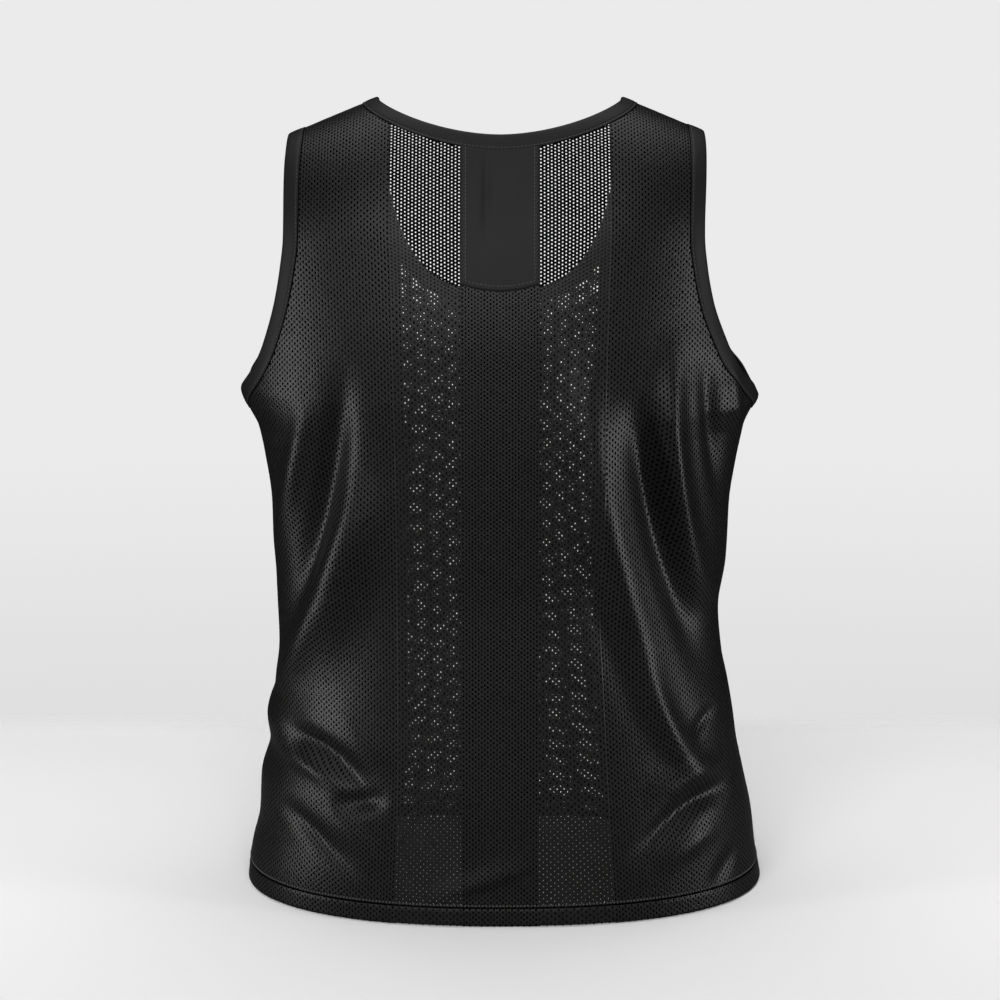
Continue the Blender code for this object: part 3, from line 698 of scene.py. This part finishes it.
def new_piece(name, points, materials, faces=None, material_index=None, uv=None):
    """Piece of the body from points and faces, or from a grid of points, shaded smooth."""
    faces = grid_faces(numbered(points)) if faces is None else faces
    mesh = bpy.data.meshes.new(name)
    mesh.from_pydata(points.reshape(-1, 3).tolist(), [], faces.tolist())
    for material in materials:
        mesh.materials.append(material)
    if material_index is not None:
        mesh.polygons.foreach_set("material_index", material_index.astype(np.int32))
    if uv is not None:
        low, high = uv.min(axis=0), uv.max(axis=0)
        loops = np.empty(len(mesh.loops), dtype=np.int32)
        mesh.loops.foreach_get("vertex_index", loops)
        layer = mesh.uv_layers.new(name="OFBake")
        layer.data.foreach_set("uv", ((uv - low) / (high - low))[loops].ravel())
        metres = mesh.uv_layers.new(name="cloth_metres")
        metres.data.foreach_set("uv", uv[loops].ravel())
    mesh.shade_smooth()
    mesh.update()
    piece = placed(name, mesh)
    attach(piece, "root")
    return piece


def numbered(points):
    """Grid of point numbers for a grid of points."""
    return np.arange(points[..., 0].size).reshape(points.shape[:-1])


def grid_faces(index):
    """Four-sided faces between the neighbours in a grid of point numbers."""
    corners = [index[..., :-1, :-1], index[..., :-1, 1:], index[..., 1:, 1:], index[..., 1:, :-1]]
    return np.stack(corners, axis=-1).reshape(-1, 4)


OTHER_WAY_ROUND = [0, 3, 2, 1]


def half_steps(net):
    """Flat heights half a hole's step apart, from the turned-up edge to the top."""
    heights, ups = zip(*net["up"])
    lines = [-(HEM_DEPTH + math.pi * HEM_ROLL)]
    while lines[-1] < PATTERN_LENGTH:
        lines.append(lines[-1] + np.interp(lines[-1], heights, ups) / 2)
    return np.array(lines)


def net_piece(pattern, name, kind, start, count, outline, seed):
    """Part of a panel's net: pointed cells in staggered columns, each with a hole or a dimple.
    The dimple's sunken lid, and the ring of a hole outside its see-through pin, are painted
    shade: near-black, for the garment's dark inside seen through the net.

    It starts at the flat place start and is count columns wide."""
    net = NETS[kind]
    rng = np.random.default_rng(seed)
    across = net["across"]
    heights = half_steps(net)
    i, m = np.meshgrid(np.arange(count + 1), np.arange(len(heights)), indexing="ij")
    step = np.gradient(heights)
    point = POINTED * step ** 2 / (2 * across)
    way = np.where((i + m) % 2 == 0, 1.0, -1.0) * ((i > 0) & (i < count))
    line_p = start + i * across + way * point[m]
    line_q = heights[m]
    line_index = np.arange(i.size).reshape(i.shape)
    column, foot = np.meshgrid(np.arange(count), np.arange(len(heights) - 2), indexing="ij")
    starts = (foot - column) % 2 == 0
    column, foot = column[starts], foot[starts]
    mid_p = start + (column + 0.5) * across
    mid_q = heights[foot + 1]
    seam_p, seam_q = pattern.inside(mid_p, mid_q)
    kept = within(outline, mid_p, mid_q)
    kept &= (np.abs(seam_p - mid_p) < across * 0.3) & (np.abs(seam_q - mid_q) < step[foot] * 0.7)
    column, foot, mid_p, mid_q = column[kept], foot[kept], mid_p[kept], mid_q[kept]
    corner_steps = [(1, 1), (1, 2), (0, 2), (0, 1), (0, 0), (1, 0)]
    corners = np.stack([line_index[column + a, foot + b] for a, b in corner_steps], axis=1)
    angle = np.radians([0.0, 60.0, 120.0, 180.0, 240.0, 300.0])
    grown = rng.normal(1.0, GROWTH_SPREAD, (len(foot), 1))
    shift = rng.normal(0.0, net.get("place_spread", PLACE_SPREAD), (len(foot), 2))
    shift = np.clip(shift, -MOST_SHIFT, MOST_SHIFT)
    levels, wide_shares, tall_shares = zip(*net["holes"])
    wide = grown * across * np.interp(mid_q, levels, wide_shares)[:, None]
    tall = grown * 2 * (step[foot + 1] * np.interp(mid_q, levels, tall_shares))[:, None]
    centre_p = mid_p[:, None] + shift[:, :1]
    centre_q = mid_q[:, None] + shift[:, 1:]
    shares = [np.ones((len(foot), 1))]
    if "pin" in net:
        shares.append(np.interp(mid_q, *zip(*net["pin"]))[:, None])
    ring_p = [(centre_p + part * wide * np.cos(angle)).ravel() for part in shares]
    ring_q = [(centre_q + part * tall * np.sin(angle)).ravel() for part in shares]
    rings = i.size + np.arange(6 * len(foot)).reshape(-1, 6)
    inner = rings + 6 * len(foot)
    faces, kinds = [], []
    for a in range(6):
        b = (a + 1) % 6
        faces.append(np.stack([corners[:, a], corners[:, b], rings[:, b], rings[:, a]], axis=1))
        if "pin" in net:
            kinds.append(np.stack([rings[:, a], rings[:, b], inner[:, b], inner[:, a]], axis=1))
    if "pin" not in net:
        kinds += [rings[:, [0, 1, 2, 3]], rings[:, [3, 4, 5, 0]]]
    faces = np.concatenate(faces + kinds)
    # Faces after the strands, the dimple lids and the rings round the pins, take the near-black
    # painted shade
    material_index = (np.arange(len(faces)) >= 6 * len(foot)).astype(int)
    p = np.concatenate([line_p.ravel(), *ring_p])
    q = np.concatenate([line_q.ravel(), *ring_q])
    lift = np.full(p.shape, net["rim"])
    lift[:i.size] = NET_CREST + rng.normal(0.0, PLACE_SPREAD, i.size)
    p, q = pattern.inside(p, q)
    points = pattern.place(p, q, lift)
    good = quad_areas(points, faces) > SMALLEST_FACE
    used, compact = np.unique(faces[good], return_inverse=True)
    faces, material_index = compact.reshape(-1, 4), material_index[good]
    points, flat = points[used], np.stack([p, q], axis=1)[used]
    # Strands of the near columns that the camera sees against the pale background through the
    # front's neck take painted shade: a near-black material of their own, chosen by the line of
    # sight from the camera, so from other views the dark patch stays where it is.
    if kind == "column":
        dark_painted_strands = over_far_neck(points[faces].mean(axis=1)) & (material_index == 0)
        material_index[dark_painted_strands] = 2
    if FACING[pattern.panel] > 0:
        faces = faces[:, ::-1]
    materials = [NET_YARN, NET_PAINTED_SHADE, NET_STRANDS_PAINTED_DARK]
    piece = new_piece(name, points, materials, faces, material_index, flat)
    return piece


def over_far_neck(points):
    """Whether the camera sees the pale background behind a point, through the front's neck."""
    eye_y, eye_z = CAMERA["place"][1:]
    share = (points[:, 1] - eye_y) / (FAR_NECK_Y - eye_y)
    x = points[:, 0] / share
    drop = ridge_z(NECK_HALF_WIDTH) - eye_z - (points[:, 2] - eye_z) / share
    depth = ridge_z(NECK_HALF_WIDTH) - FRONT_NECK_Z
    drop = np.maximum(drop, 0.0)
    power = FRONT_NECK_POWER
    return np.abs(x / NECK_HALF_WIDTH) ** power + (drop / depth) ** power < 1.0


def quad_areas(points, faces):
    """Area of each four-sided face."""
    a, b, c, d = (points[faces[:, k]] for k in range(4))
    return np.linalg.norm(np.cross(c - a, d - b), axis=1) / 2


# ---- materials


def add_node(tree, kind, inputs=None, **settings):
    """New shader node with its settings and the values of its inputs."""
    node = tree.nodes.new(f"ShaderNode{kind}")
    for key, value in settings.items():
        setattr(node, key, value)
    for key, value in (inputs or {}).items():
        node.inputs[key].default_value = value
    return node


def wire(tree, *links):
    """Links between nodes: from one node's output to the other's input."""
    for source, output, target, entry in links:
        tree.links.new(source.outputs[output], target.inputs[entry])


def new_material(name, roughness, specular):
    """Material with its tree and its shader."""
    material = bpy.data.materials.new(name)
    material.use_nodes = True
    shader = material.node_tree.nodes["Principled BSDF"]
    shader.inputs["Roughness"].default_value = roughness
    shader.inputs["Specular IOR Level"].default_value = specular
    return material, material.node_tree, shader


def knit_material(name, color, roughness, specular, yarn, yarn_depth, grain):
    """Matt knit: yarn bump, and unevenness of shade over the cloth and from yarn to yarn."""
    material, tree, shader = new_material(name, roughness, specular)
    place = add_node(tree, "TexCoord")
    cloud = add_node(tree, "TexNoise", {"Scale": CLOUD_SCALE, "Detail": 5.0})
    shade = add_node(tree, "MapRange", {"To Min": 1.0 - UNEVEN, "To Max": 1.0 + UNEVEN})
    fibre = add_node(tree, "TexNoise", {"Scale": 1.0 / yarn, "Detail": 2.0})
    speck = add_node(tree, "MapRange", {"From Min": 0.3, "From Max": 0.7,
                                        "To Min": 1.0 - grain, "To Max": 1.0 + grain})
    multiply = {"data_type": "RGBA", "blend_type": "MULTIPLY"}
    tint = add_node(tree, "Mix", {"Factor": 1.0}, **multiply)
    tint.inputs["A"].default_value = (*color, 1.0)
    grainy = add_node(tree, "Mix", {"Factor": 1.0}, **multiply)
    bump = add_node(tree, "Bump", {"Strength": 0.8, "Distance": yarn_depth})
    wire(tree, (place, "Object", cloud, "Vector"), (place, "Object", fibre, "Vector"),
         (cloud, "Fac", shade, "Value"), (shade, "Result", tint, "B"),
         (fibre, "Fac", speck, "Value"), (tint, "Result", grainy, "A"),
         (speck, "Result", grainy, "B"), (grainy, "Result", shader, "Base Color"),
         (fibre, "Fac", bump, "Height"), (bump, "Normal", shader, "Normal"))
    return material


CLOUD_SCALE = 38.0
UNEVEN = 0.18
# Name, colour, roughness, specular, yarn size and depth, and grain
NET_YARN, NET_PAINTED_SHADE, NET_STRANDS_PAINTED_DARK, THREAD, TAPE_KNIT, PATCH_KNIT = (
    knit_material(*row) for row in [
        ("net_yarn", (0.0090, 0.0086, 0.0084), 0.38, 0.18, 0.0008, 0.00018, 0.95),
        # Near-black painted shade for dimple lids, hole rims and the strips along grooves
        ("net_dimple", (0.0006, 0.0006, 0.0006), 0.9, 0.0, 0.0008, 0.0001, 0.3),
        # Near-black painted shade for the column strands seen against the pale background through
        # the front's neck
        ("net_backlit", (0.0008, 0.0008, 0.0008), 0.6, 0.03, 0.0008, 0.0001, 0.3),
        ("thread", (0.0420, 0.0400, 0.0390), 0.45, 0.20, 0.0003, 0.00005, 0.3),
        ("tape_knit", (0.0072, 0.0070, 0.0072), 0.55, 0.12, 0.0007, 0.00008, 0.25),
        ("patch_knit", (0.0078, 0.0072, 0.0078), 0.52, 0.13, 0.0008, 0.00010, 0.30),
    ])

# ---- the panels

PATTERNS = {panel: Pattern(panel) for panel in FACING}


def make_panel(panel):
    """The net of one panel in five parts: stripe, two columns and two outer parts."""
    pattern = PATTERNS[panel]
    outline = pattern.outline()
    far = "" if panel == "back" else "far_"
    column_kind, outer_kind = far + "column", far + "outer"
    kinds = ("stripe", column_kind, outer_kind)
    stripe, column, outer = (NETS[kind]["across"] for kind in kinds)
    stripe_cells = round(2 * STRIPE_EDGE / stripe)
    column_cells = round((COLUMN_EDGE - STRIPE_EDGE) / column)
    outer_cells = int((HALF_PATTERN - COLUMN_EDGE) / outer)
    outer_width = outer_cells * outer
    layout = [
        ("stripe", "stripe", -STRIPE_EDGE, stripe_cells),
        ("column_left", column_kind, -COLUMN_EDGE, column_cells),
        ("column_right", column_kind, STRIPE_EDGE, column_cells),
        ("outer_left", outer_kind, -COLUMN_EDGE - outer_width, outer_cells),
        ("outer_right", outer_kind, COLUMN_EDGE, outer_cells),
    ]
    for seed, (part, kind, start, cells) in enumerate(layout, FIRST_SEED):
        piece = net_piece(pattern, f"{panel}_net_{part}", kind, start, cells, outline, seed)
        if part == "stripe":
            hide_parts(f"{panel}_panel")


for panel in FACING:
    make_panel(panel)

# ---- stitches

STITCH = {"length": 0.0026, "gap": 0.0008, "half_width": 0.00034, "height": 0.00034}
HEM_STITCH = {"length": 0.0021, "gap": 0.0009, "half_width": 0.00090, "height": 0.00095}
STITCH_RINGS = [(-1.0, 0.0), (-0.85, 0.6), (-0.5, 1.0), (0.5, 1.0), (0.85, 0.6), (1.0, 0.0)]
STITCH_SIDES = 5
STITCH_SINK = 0.1 * MM
# Drop and lift of each line across the strip of painted shade along the groove in a hem
HEM_SHADE_STRIP_LINES = ((0.0000, 0.0002), (0.0007, 0.0005), (0.0014, 0.0002))
HEM_STITCH_WAY = HEM_DEPTH + 0.0014


def stitch_row(name, points, normals, size=STITCH):
    """Row of short raised stitches along a line of points on the cloth."""
    run = run_along(points)
    pitch = size["length"] + size["gap"]
    count = int(run[-1] / pitch)
    middles = (np.arange(count) + 0.5) * run[-1] / count
    verts = []
    angle = np.linspace(0.0, math.pi, STITCH_SIDES)

    def along(table, at):
        return np.stack([np.interp(at, run, table[:, k]) for k in range(3)], axis=1)

    for way, grown in STITCH_RINGS:
        at = middles + way * size["length"] / 2
        up = unit(along(normals, at))
        side = unit(np.cross(along(points, at + MM) - along(points, at - MM), up))
        wide = side[:, None] * (np.cos(angle) * size["half_width"] * grown)[:, None]
        tall = up[:, None] * (np.sin(angle) * size["height"] * grown - STITCH_SINK)[:, None]
        verts.append(along(points, at)[:, None] + wide + tall)
    new_piece(name, np.stack(verts, axis=1), [THREAD])


def groove(name, lines):
    """Narrow near-black strip through lines of points: painted shade in the groove that stitching
    draws into the cloth.
    """
    new_piece(name, np.stack(lines), [NET_PAINTED_SHADE])


def make_hem_stitches():
    """A raised row of stitching, and a strip of painted shade along the groove, at the top of each
    panel's hem.
    """
    for panel, pattern in PATTERNS.items():
        ends = np.array([-HALF_PATTERN, HALF_PATTERN])
        left, right = pattern.inside(ends, np.full(2, HEM_DEPTH))[0]
        p = np.linspace(left + MM, right - MM, 500)
        lines = [pattern.place(p, np.full(p.shape, HEM_DEPTH - drop), lift)
                 for drop, lift in HEM_SHADE_STRIP_LINES]
        # A near-black strip of painted shade along the hem's groove
        groove(f"{panel}_hem_painted_shade_strip", lines[::int(-FACING[panel])])
        q = np.full(p.shape, HEM_STITCH_WAY)
        points = pattern.place(p, q, 0.0)
        normals = unit(pattern.looked_up(pattern.normals, p, q))
        stitch_row(f"{panel}_hem_stitches", points, normals, HEM_STITCH)


make_hem_stitches()

# ---- bindings

# Across a folded tape from its outer end, over the opening's edge, to its inner end:
# share of its width in from the edge, and lift in mm
BAND_SECTION = [
    (1.004, -0.20), (1.004, 0.25), (0.990, 0.62), (0.960, 0.80), (0.925, 0.72),
    (0.895, 0.52), (0.865, 0.52), (0.830, 0.78), (0.760, 0.95), (0.600, 1.02), (0.350, 1.05),
    (0.150, 0.95), (0.060, 0.70), (0.008, 0.30), (-0.022, -0.25), (-0.024, -0.75), (0.000, -1.20),
    (0.080, -1.50), (0.300, -1.60), (0.600, -1.50), (0.800, -1.25), (0.930, -1.20), (0.990, -0.70),
]
STITCH_SHARE = 0.880
STITCH_LIFT = 0.45 * MM
# Share of the width and lift of each line across the strip of painted shade beside a tape
TAPE_SHADE_STRIP_LINES = ((1.055, 0.0001), (1.030, 0.0002), (1.000, 0.0001))


def ring_round(line_of, way, lift):
    """Points and normals of a closed ring round an opening, some way into the cloth.

    It goes along the back panel's edge, then along the front's, the other way."""
    halves = []
    for panel in FACING:
        sigma, v = line_of(panel, way).T
        points = cloth_point(panel, sigma, v, lift)
        halves.append(np.stack([points, outward(panel, sigma, v)], axis=1))
    ring = np.concatenate([halves[0], halves[1][::-1][1:-1]])
    return np.concatenate([ring, ring[:1]])


def make_band(name, node, line_of, width):
    """Folded tape round an opening, with its stitches and a strip of painted shade beside it."""
    rings = np.stack([ring_round(line_of, share * width, lift * MM)[:, 0]
                      for share, lift in BAND_SECTION], axis=1)
    run = run_along(rings[:, len(BAND_SECTION) // 2])
    across = run_along(rings[0])
    faces = grid_faces(numbered(rings))[:, OTHER_WAY_ROUND]
    uv = np.stack(np.meshgrid(run, across, indexing="ij"), axis=-1).reshape(-1, 2)
    piece = new_piece(name, rings, [TAPE_KNIT], faces, uv=uv)
    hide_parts(node)
    row = ring_round(line_of, STITCH_SHARE * width, STITCH_LIFT)
    stitch_row(f"{name}_stitches", row[:, 0], row[:, 1])
    # A near-black strip of painted shade on the cloth just beside the tape, away from the opening
    lines = [ring_round(line_of, share * width, lift)[:, 0] for share, lift in TAPE_SHADE_STRIP_LINES]
    groove(f"{name}_groove", lines)


make_band("neck_tape", "neck_binding", neck_line, NECK_BAND)
for side_name, side in SIDES.items():
    make_band(f"armhole_tape_{side_name}", f"armhole_binding_{side_name}",
              lambda panel, way, side=side: arm_line(side, panel, way), ARM_BAND)

# ---- seams

SEAM_HALF = 0.0050
SEAM_WAYS = np.array([1.0, 0.6, 0.2])
SEAM_LIFTS = (-0.0007, -0.0013)
SEAM_END = 0.002
BAND_COVER = 0.8


def seam_strip(name, panels_sigma_v):
    """Flat strip on the inside of a seam, half on each panel, as a thin closed band."""
    layers = []
    for lift in SEAM_LIFTS:
        halves = []
        for panel, sigma, v, toward in panels_sigma_v:
            columns = []
            for way in SEAM_WAYS:
                by_sigma, by_v = slopes_at(panel, sigma, v)
                if toward == "v":
                    moved = sigma, v + way * SEAM_HALF / np.linalg.norm(by_v, axis=1)
                else:
                    step = way * SEAM_HALF / np.linalg.norm(by_sigma, axis=1)
                    moved = sigma - np.sign(sigma) * step, v
                columns.append(cloth_point(panel, *moved, lift))
            halves.append(columns)
        layers.append(halves[0] + halves[1][::-1])
    ring = np.stack(layers[0] + layers[1][::-1], axis=1)
    stations, around = ring.shape[:2]
    index = numbered(ring)
    faces = grid_faces(np.concatenate([index, index[:, :1]], axis=1))
    k = np.arange(around // 2 - 1)
    cap = np.stack([around - 1 - k, around - 2 - k, k + 1, k], axis=1)
    faces = np.concatenate([faces, cap, cap[:, ::-1] + (stations - 1) * around])
    piece = new_piece(name, ring, [TAPE_KNIT], faces)


def make_seams():
    """Turned-in allowances along the side seams and the shoulder seams."""
    for side_name, side in SIDES.items():
        z = np.linspace(HEM_Z + SEAM_END, UNDERARM_Z - SEAM_END, 160)
        sigma = np.full(z.shape, side * 0.9995)
        v = way_down(sigma, z)
        seam_strip(f"side_seam_{side_name}", [(panel, sigma, v, "sigma") for panel in FACING])
        neck_x = side * (NECK_HALF_WIDTH + NECK_BAND * BAND_COVER)
        arm_x = side * (ARM_TOP_X[side] - ARM_BAND * BAND_COVER)
        x = np.linspace(neck_x, arm_x, 40)
        sigma = sigma_at(x, ridge_z(x))
        v = np.full(x.shape, 0.0004)
        seam_strip(f"shoulder_seam_{side_name}", [(panel, sigma, v, "v") for panel in FACING])


make_seams()

# ---- upper back patch

PATCH_RIM = 0.0016
PATCH_LIFT = 0.0005
PATCH_ROUND = 0.0010
STITCH_INSET = 4


def make_patch():
    """Plain piece on the upper back, from the neck binding to a rounded foot."""
    shares = np.linspace(-1.0, 1.0, 61)
    neck_points = bare_surface("back", *neck_line("back", NECK_BAND + SEAM_GAP).T)
    x = shares * PATCH_HALF_WIDTH
    top_z = np.interp(x, neck_points[:, 0], neck_points[:, 2])
    foot_z = PATCH_FOOT_Z + PATCH_SIDE_RISE * shares ** 2
    t = np.linspace(0.0, 1.0, 101)[:, None]
    z = foot_z + t * (top_z - foot_z)
    x = np.repeat(x[None, :], len(t), axis=0)
    sigma = sigma_at(x, z)
    v = way_down(sigma, z)
    side_way = (1.0 - np.abs(shares))[None, :] * PATCH_HALF_WIDTH
    foot_way = z - foot_z
    rim = np.minimum(np.minimum(side_way, foot_way) / PATCH_RIM, 1.0)
    lift = PATCH_LIFT + PATCH_ROUND * np.sqrt(1.0 - (1.0 - rim) ** 2)
    points = cloth_point("back", sigma, v, lift)
    flat = np.stack([x.ravel(), z.ravel()], axis=1)
    piece = new_piece("upper_back_patch", points, [PATCH_KNIT], uv=flat)
    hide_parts("back_patch")
    rows, columns = points.shape[:2]
    inset = STITCH_INSET
    edge = [(row, inset) for row in range(rows - 1, inset, -1)]
    edge += [(inset, column) for column in range(inset, columns - inset)]
    edge += [(row, columns - 1 - inset) for row in range(inset, rows)]
    row, column = np.array(edge).T
    normals = outward("back", sigma[row, column], v[row, column])
    stitch_row("patch_stitches", points[row, column], normals)


make_patch()

# ---- room, light and camera

FLOOR_Z = HEM_Z - 0.0012
# Where the floor starts and ends to fade out, to the sides, near and far
FLOOR_EDGES = {"x": (0.52, 0.68), "near": (0.46, 0.62), "far": (0.40, 0.47)}
# Painted shade on the floor: the paint's shade toward the camera, how much lighter it gets near the
# garment, and where that change starts and ends on the way toward the camera
FLOOR_PAINTED_SHADE = {"least": 0.68, "more": 0.17, "start": 0.05, "end": 0.60}
# The share of its shade that the floor keeps for rays that don't come from the camera
FLOOR_BOUNCE = 0.18
SURROUND_LIGHT = 0.07
SURROUND_SHADE = {"From Min": -0.31, "From Max": -0.20, "To Min": 0.74, "To Max": 0.83}
# Name, place, aim, size and power
LIGHTS = [
    ("overhead", (0.0, 0.5, 2.4), (0.0, 0.0, -0.3), (3.2, 2.4), 72.0),
    ("front", (-0.4, -3.0, 0.9), (0.0, 0.0, -0.35), (2.6, 1.6), 70.0),
    ("high_front", (0.0, -1.7, 1.9), (0.0, 0.0, -0.10), (2.4, 0.9), 18.0),
    ("left_strip", (-1.9, -0.75, -0.60), (0.0, 0.0, -0.45), (0.3, 1.2), 28.0),
    ("right_strip", (1.9, -0.75, -0.60), (0.0, 0.0, -0.45), (0.3, 1.2), 28.0),
]


def make_floor():
    """Pale floor under the garment that fades softly into the surround. Its paint carries painted
    shade: lightest near the garment and darker toward the camera.
    """
    edges = FLOOR_EDGES
    x = np.linspace(-edges["x"][1], edges["x"][1], 69)
    y = np.linspace(-edges["near"][1], edges["far"][1], 110)
    grid_x, grid_y = np.meshgrid(x, y, indexing="ij")
    cover = fading(np.abs(grid_x), *edges["x"])
    cover *= fading(grid_y, *edges["far"]) * fading(-grid_y, *edges["near"])
    # Painted shade: the floor's paint darkens from near the garment toward the camera
    toward = fading(-grid_y, FLOOR_PAINTED_SHADE["start"], FLOOR_PAINTED_SHADE["end"])
    shade = FLOOR_PAINTED_SHADE["least"] + FLOOR_PAINTED_SHADE["more"] * toward
    points = np.stack([grid_x, grid_y, np.full(grid_x.shape, FLOOR_Z)], axis=-1)
    faces = grid_faces(numbered(points))[:, OTHER_WAY_ROUND]
    mesh = bpy.data.meshes.new("floor")
    mesh.from_pydata(points.reshape(-1, 3).tolist(), [], faces.tolist())
    for name, values in {"cover": cover, "shade": shade}.items():
        layer = mesh.attributes.new(name, "FLOAT", "POINT")
        layer.data.foreach_set("value", values.ravel())
    mesh.materials.append(floor_paint())
    placed("floor", mesh)


def floor_paint():
    """Paint that takes its painted shade and its cover from the floor, and gives back little light.
    """
    paint, tree, shader = new_material("floor_paint", 0.7, 0.2)
    surface = tree.nodes["Material Output"]
    cover = add_node(tree, "Attribute", attribute_name="cover")
    shade = add_node(tree, "Attribute", attribute_name="shade")
    path = add_node(tree, "LightPath")
    seen = add_node(tree, "MapRange", {"To Min": FLOOR_BOUNCE})
    dimmed = add_node(tree, "Math", operation="MULTIPLY")
    clear = add_node(tree, "BsdfTransparent")
    mix = add_node(tree, "MixShader")
    wire(tree, (path, "Is Camera Ray", seen, "Value"), (shade, "Fac", dimmed, 0),
         (seen, "Result", dimmed, 1), (dimmed, "Value", shader, "Base Color"),
         (cover, "Fac", mix, "Fac"), (clear, "BSDF", mix, 1), (shader, "BSDF", mix, 2),
         (mix, "Shader", surface, "Surface"))
    return paint


def fading(way, start, end):
    """Smooth change from 1 at start to 0 at end."""
    share = np.clip((end - way) / (end - start), 0.0, 1.0)
    return share * share * (3.0 - 2.0 * share)


def make_light(name, place, aim, size, power):
    """Soft rectangular studio light."""
    data = bpy.data.lights.new(name, "AREA")
    data.shape = "RECTANGLE"
    data.size, data.size_y = size
    data.energy = power
    lamp = placed(name, data)
    lamp.visible_camera = False
    lamp.location = place
    way = np.array(aim) - np.array(place)
    lamp.rotation_euler = (math.acos(-way[2] / np.linalg.norm(way)), 0.0,
                           math.atan2(way[0], -way[1]) + math.pi)


def make_surround():
    """World that looks pale, a little darker low down, and lights the garment only dimly."""
    world = bpy.data.worlds.new("surround")
    bpy.context.scene.world = world
    world.use_nodes = True
    tree = world.node_tree
    dim, surface = tree.nodes["Background"], tree.nodes["World Output"]
    dim.inputs["Strength"].default_value = SURROUND_LIGHT
    place = add_node(tree, "TexCoord")
    split = add_node(tree, "SeparateXYZ")
    ramp = add_node(tree, "MapRange", SURROUND_SHADE, interpolation_type="SMOOTHSTEP")
    pale = add_node(tree, "Background")
    path = add_node(tree, "LightPath")
    mix = add_node(tree, "MixShader")
    wire(tree, (place, "Generated", split, "Vector"), (split, "Z", ramp, "Value"),
         (ramp, "Result", pale, "Color"), (path, "Is Camera Ray", mix, "Fac"),
         (dim, "Background", mix, 1), (pale, "Background", mix, 2),
         (mix, "Shader", surface, "Surface"))


def make_studio():
    """Overhead and side softboxes, a pale surround and the camera."""
    for light in LIGHTS:
        make_light(*light)
    make_surround()
    data = bpy.data.cameras.new("camera")
    data.lens = CAMERA["lens"]
    data.sensor_width = CAMERA["sensor"]
    camera = placed("camera", data)
    camera.location = CAMERA["place"]
    camera.rotation_euler = (math.radians(90.0 + CAMERA["pitch"]), 0.0, 0.0)
    bpy.context.scene.camera = camera
    bpy.context.scene.view_settings.view_transform = "Standard"


make_floor()
make_studio()
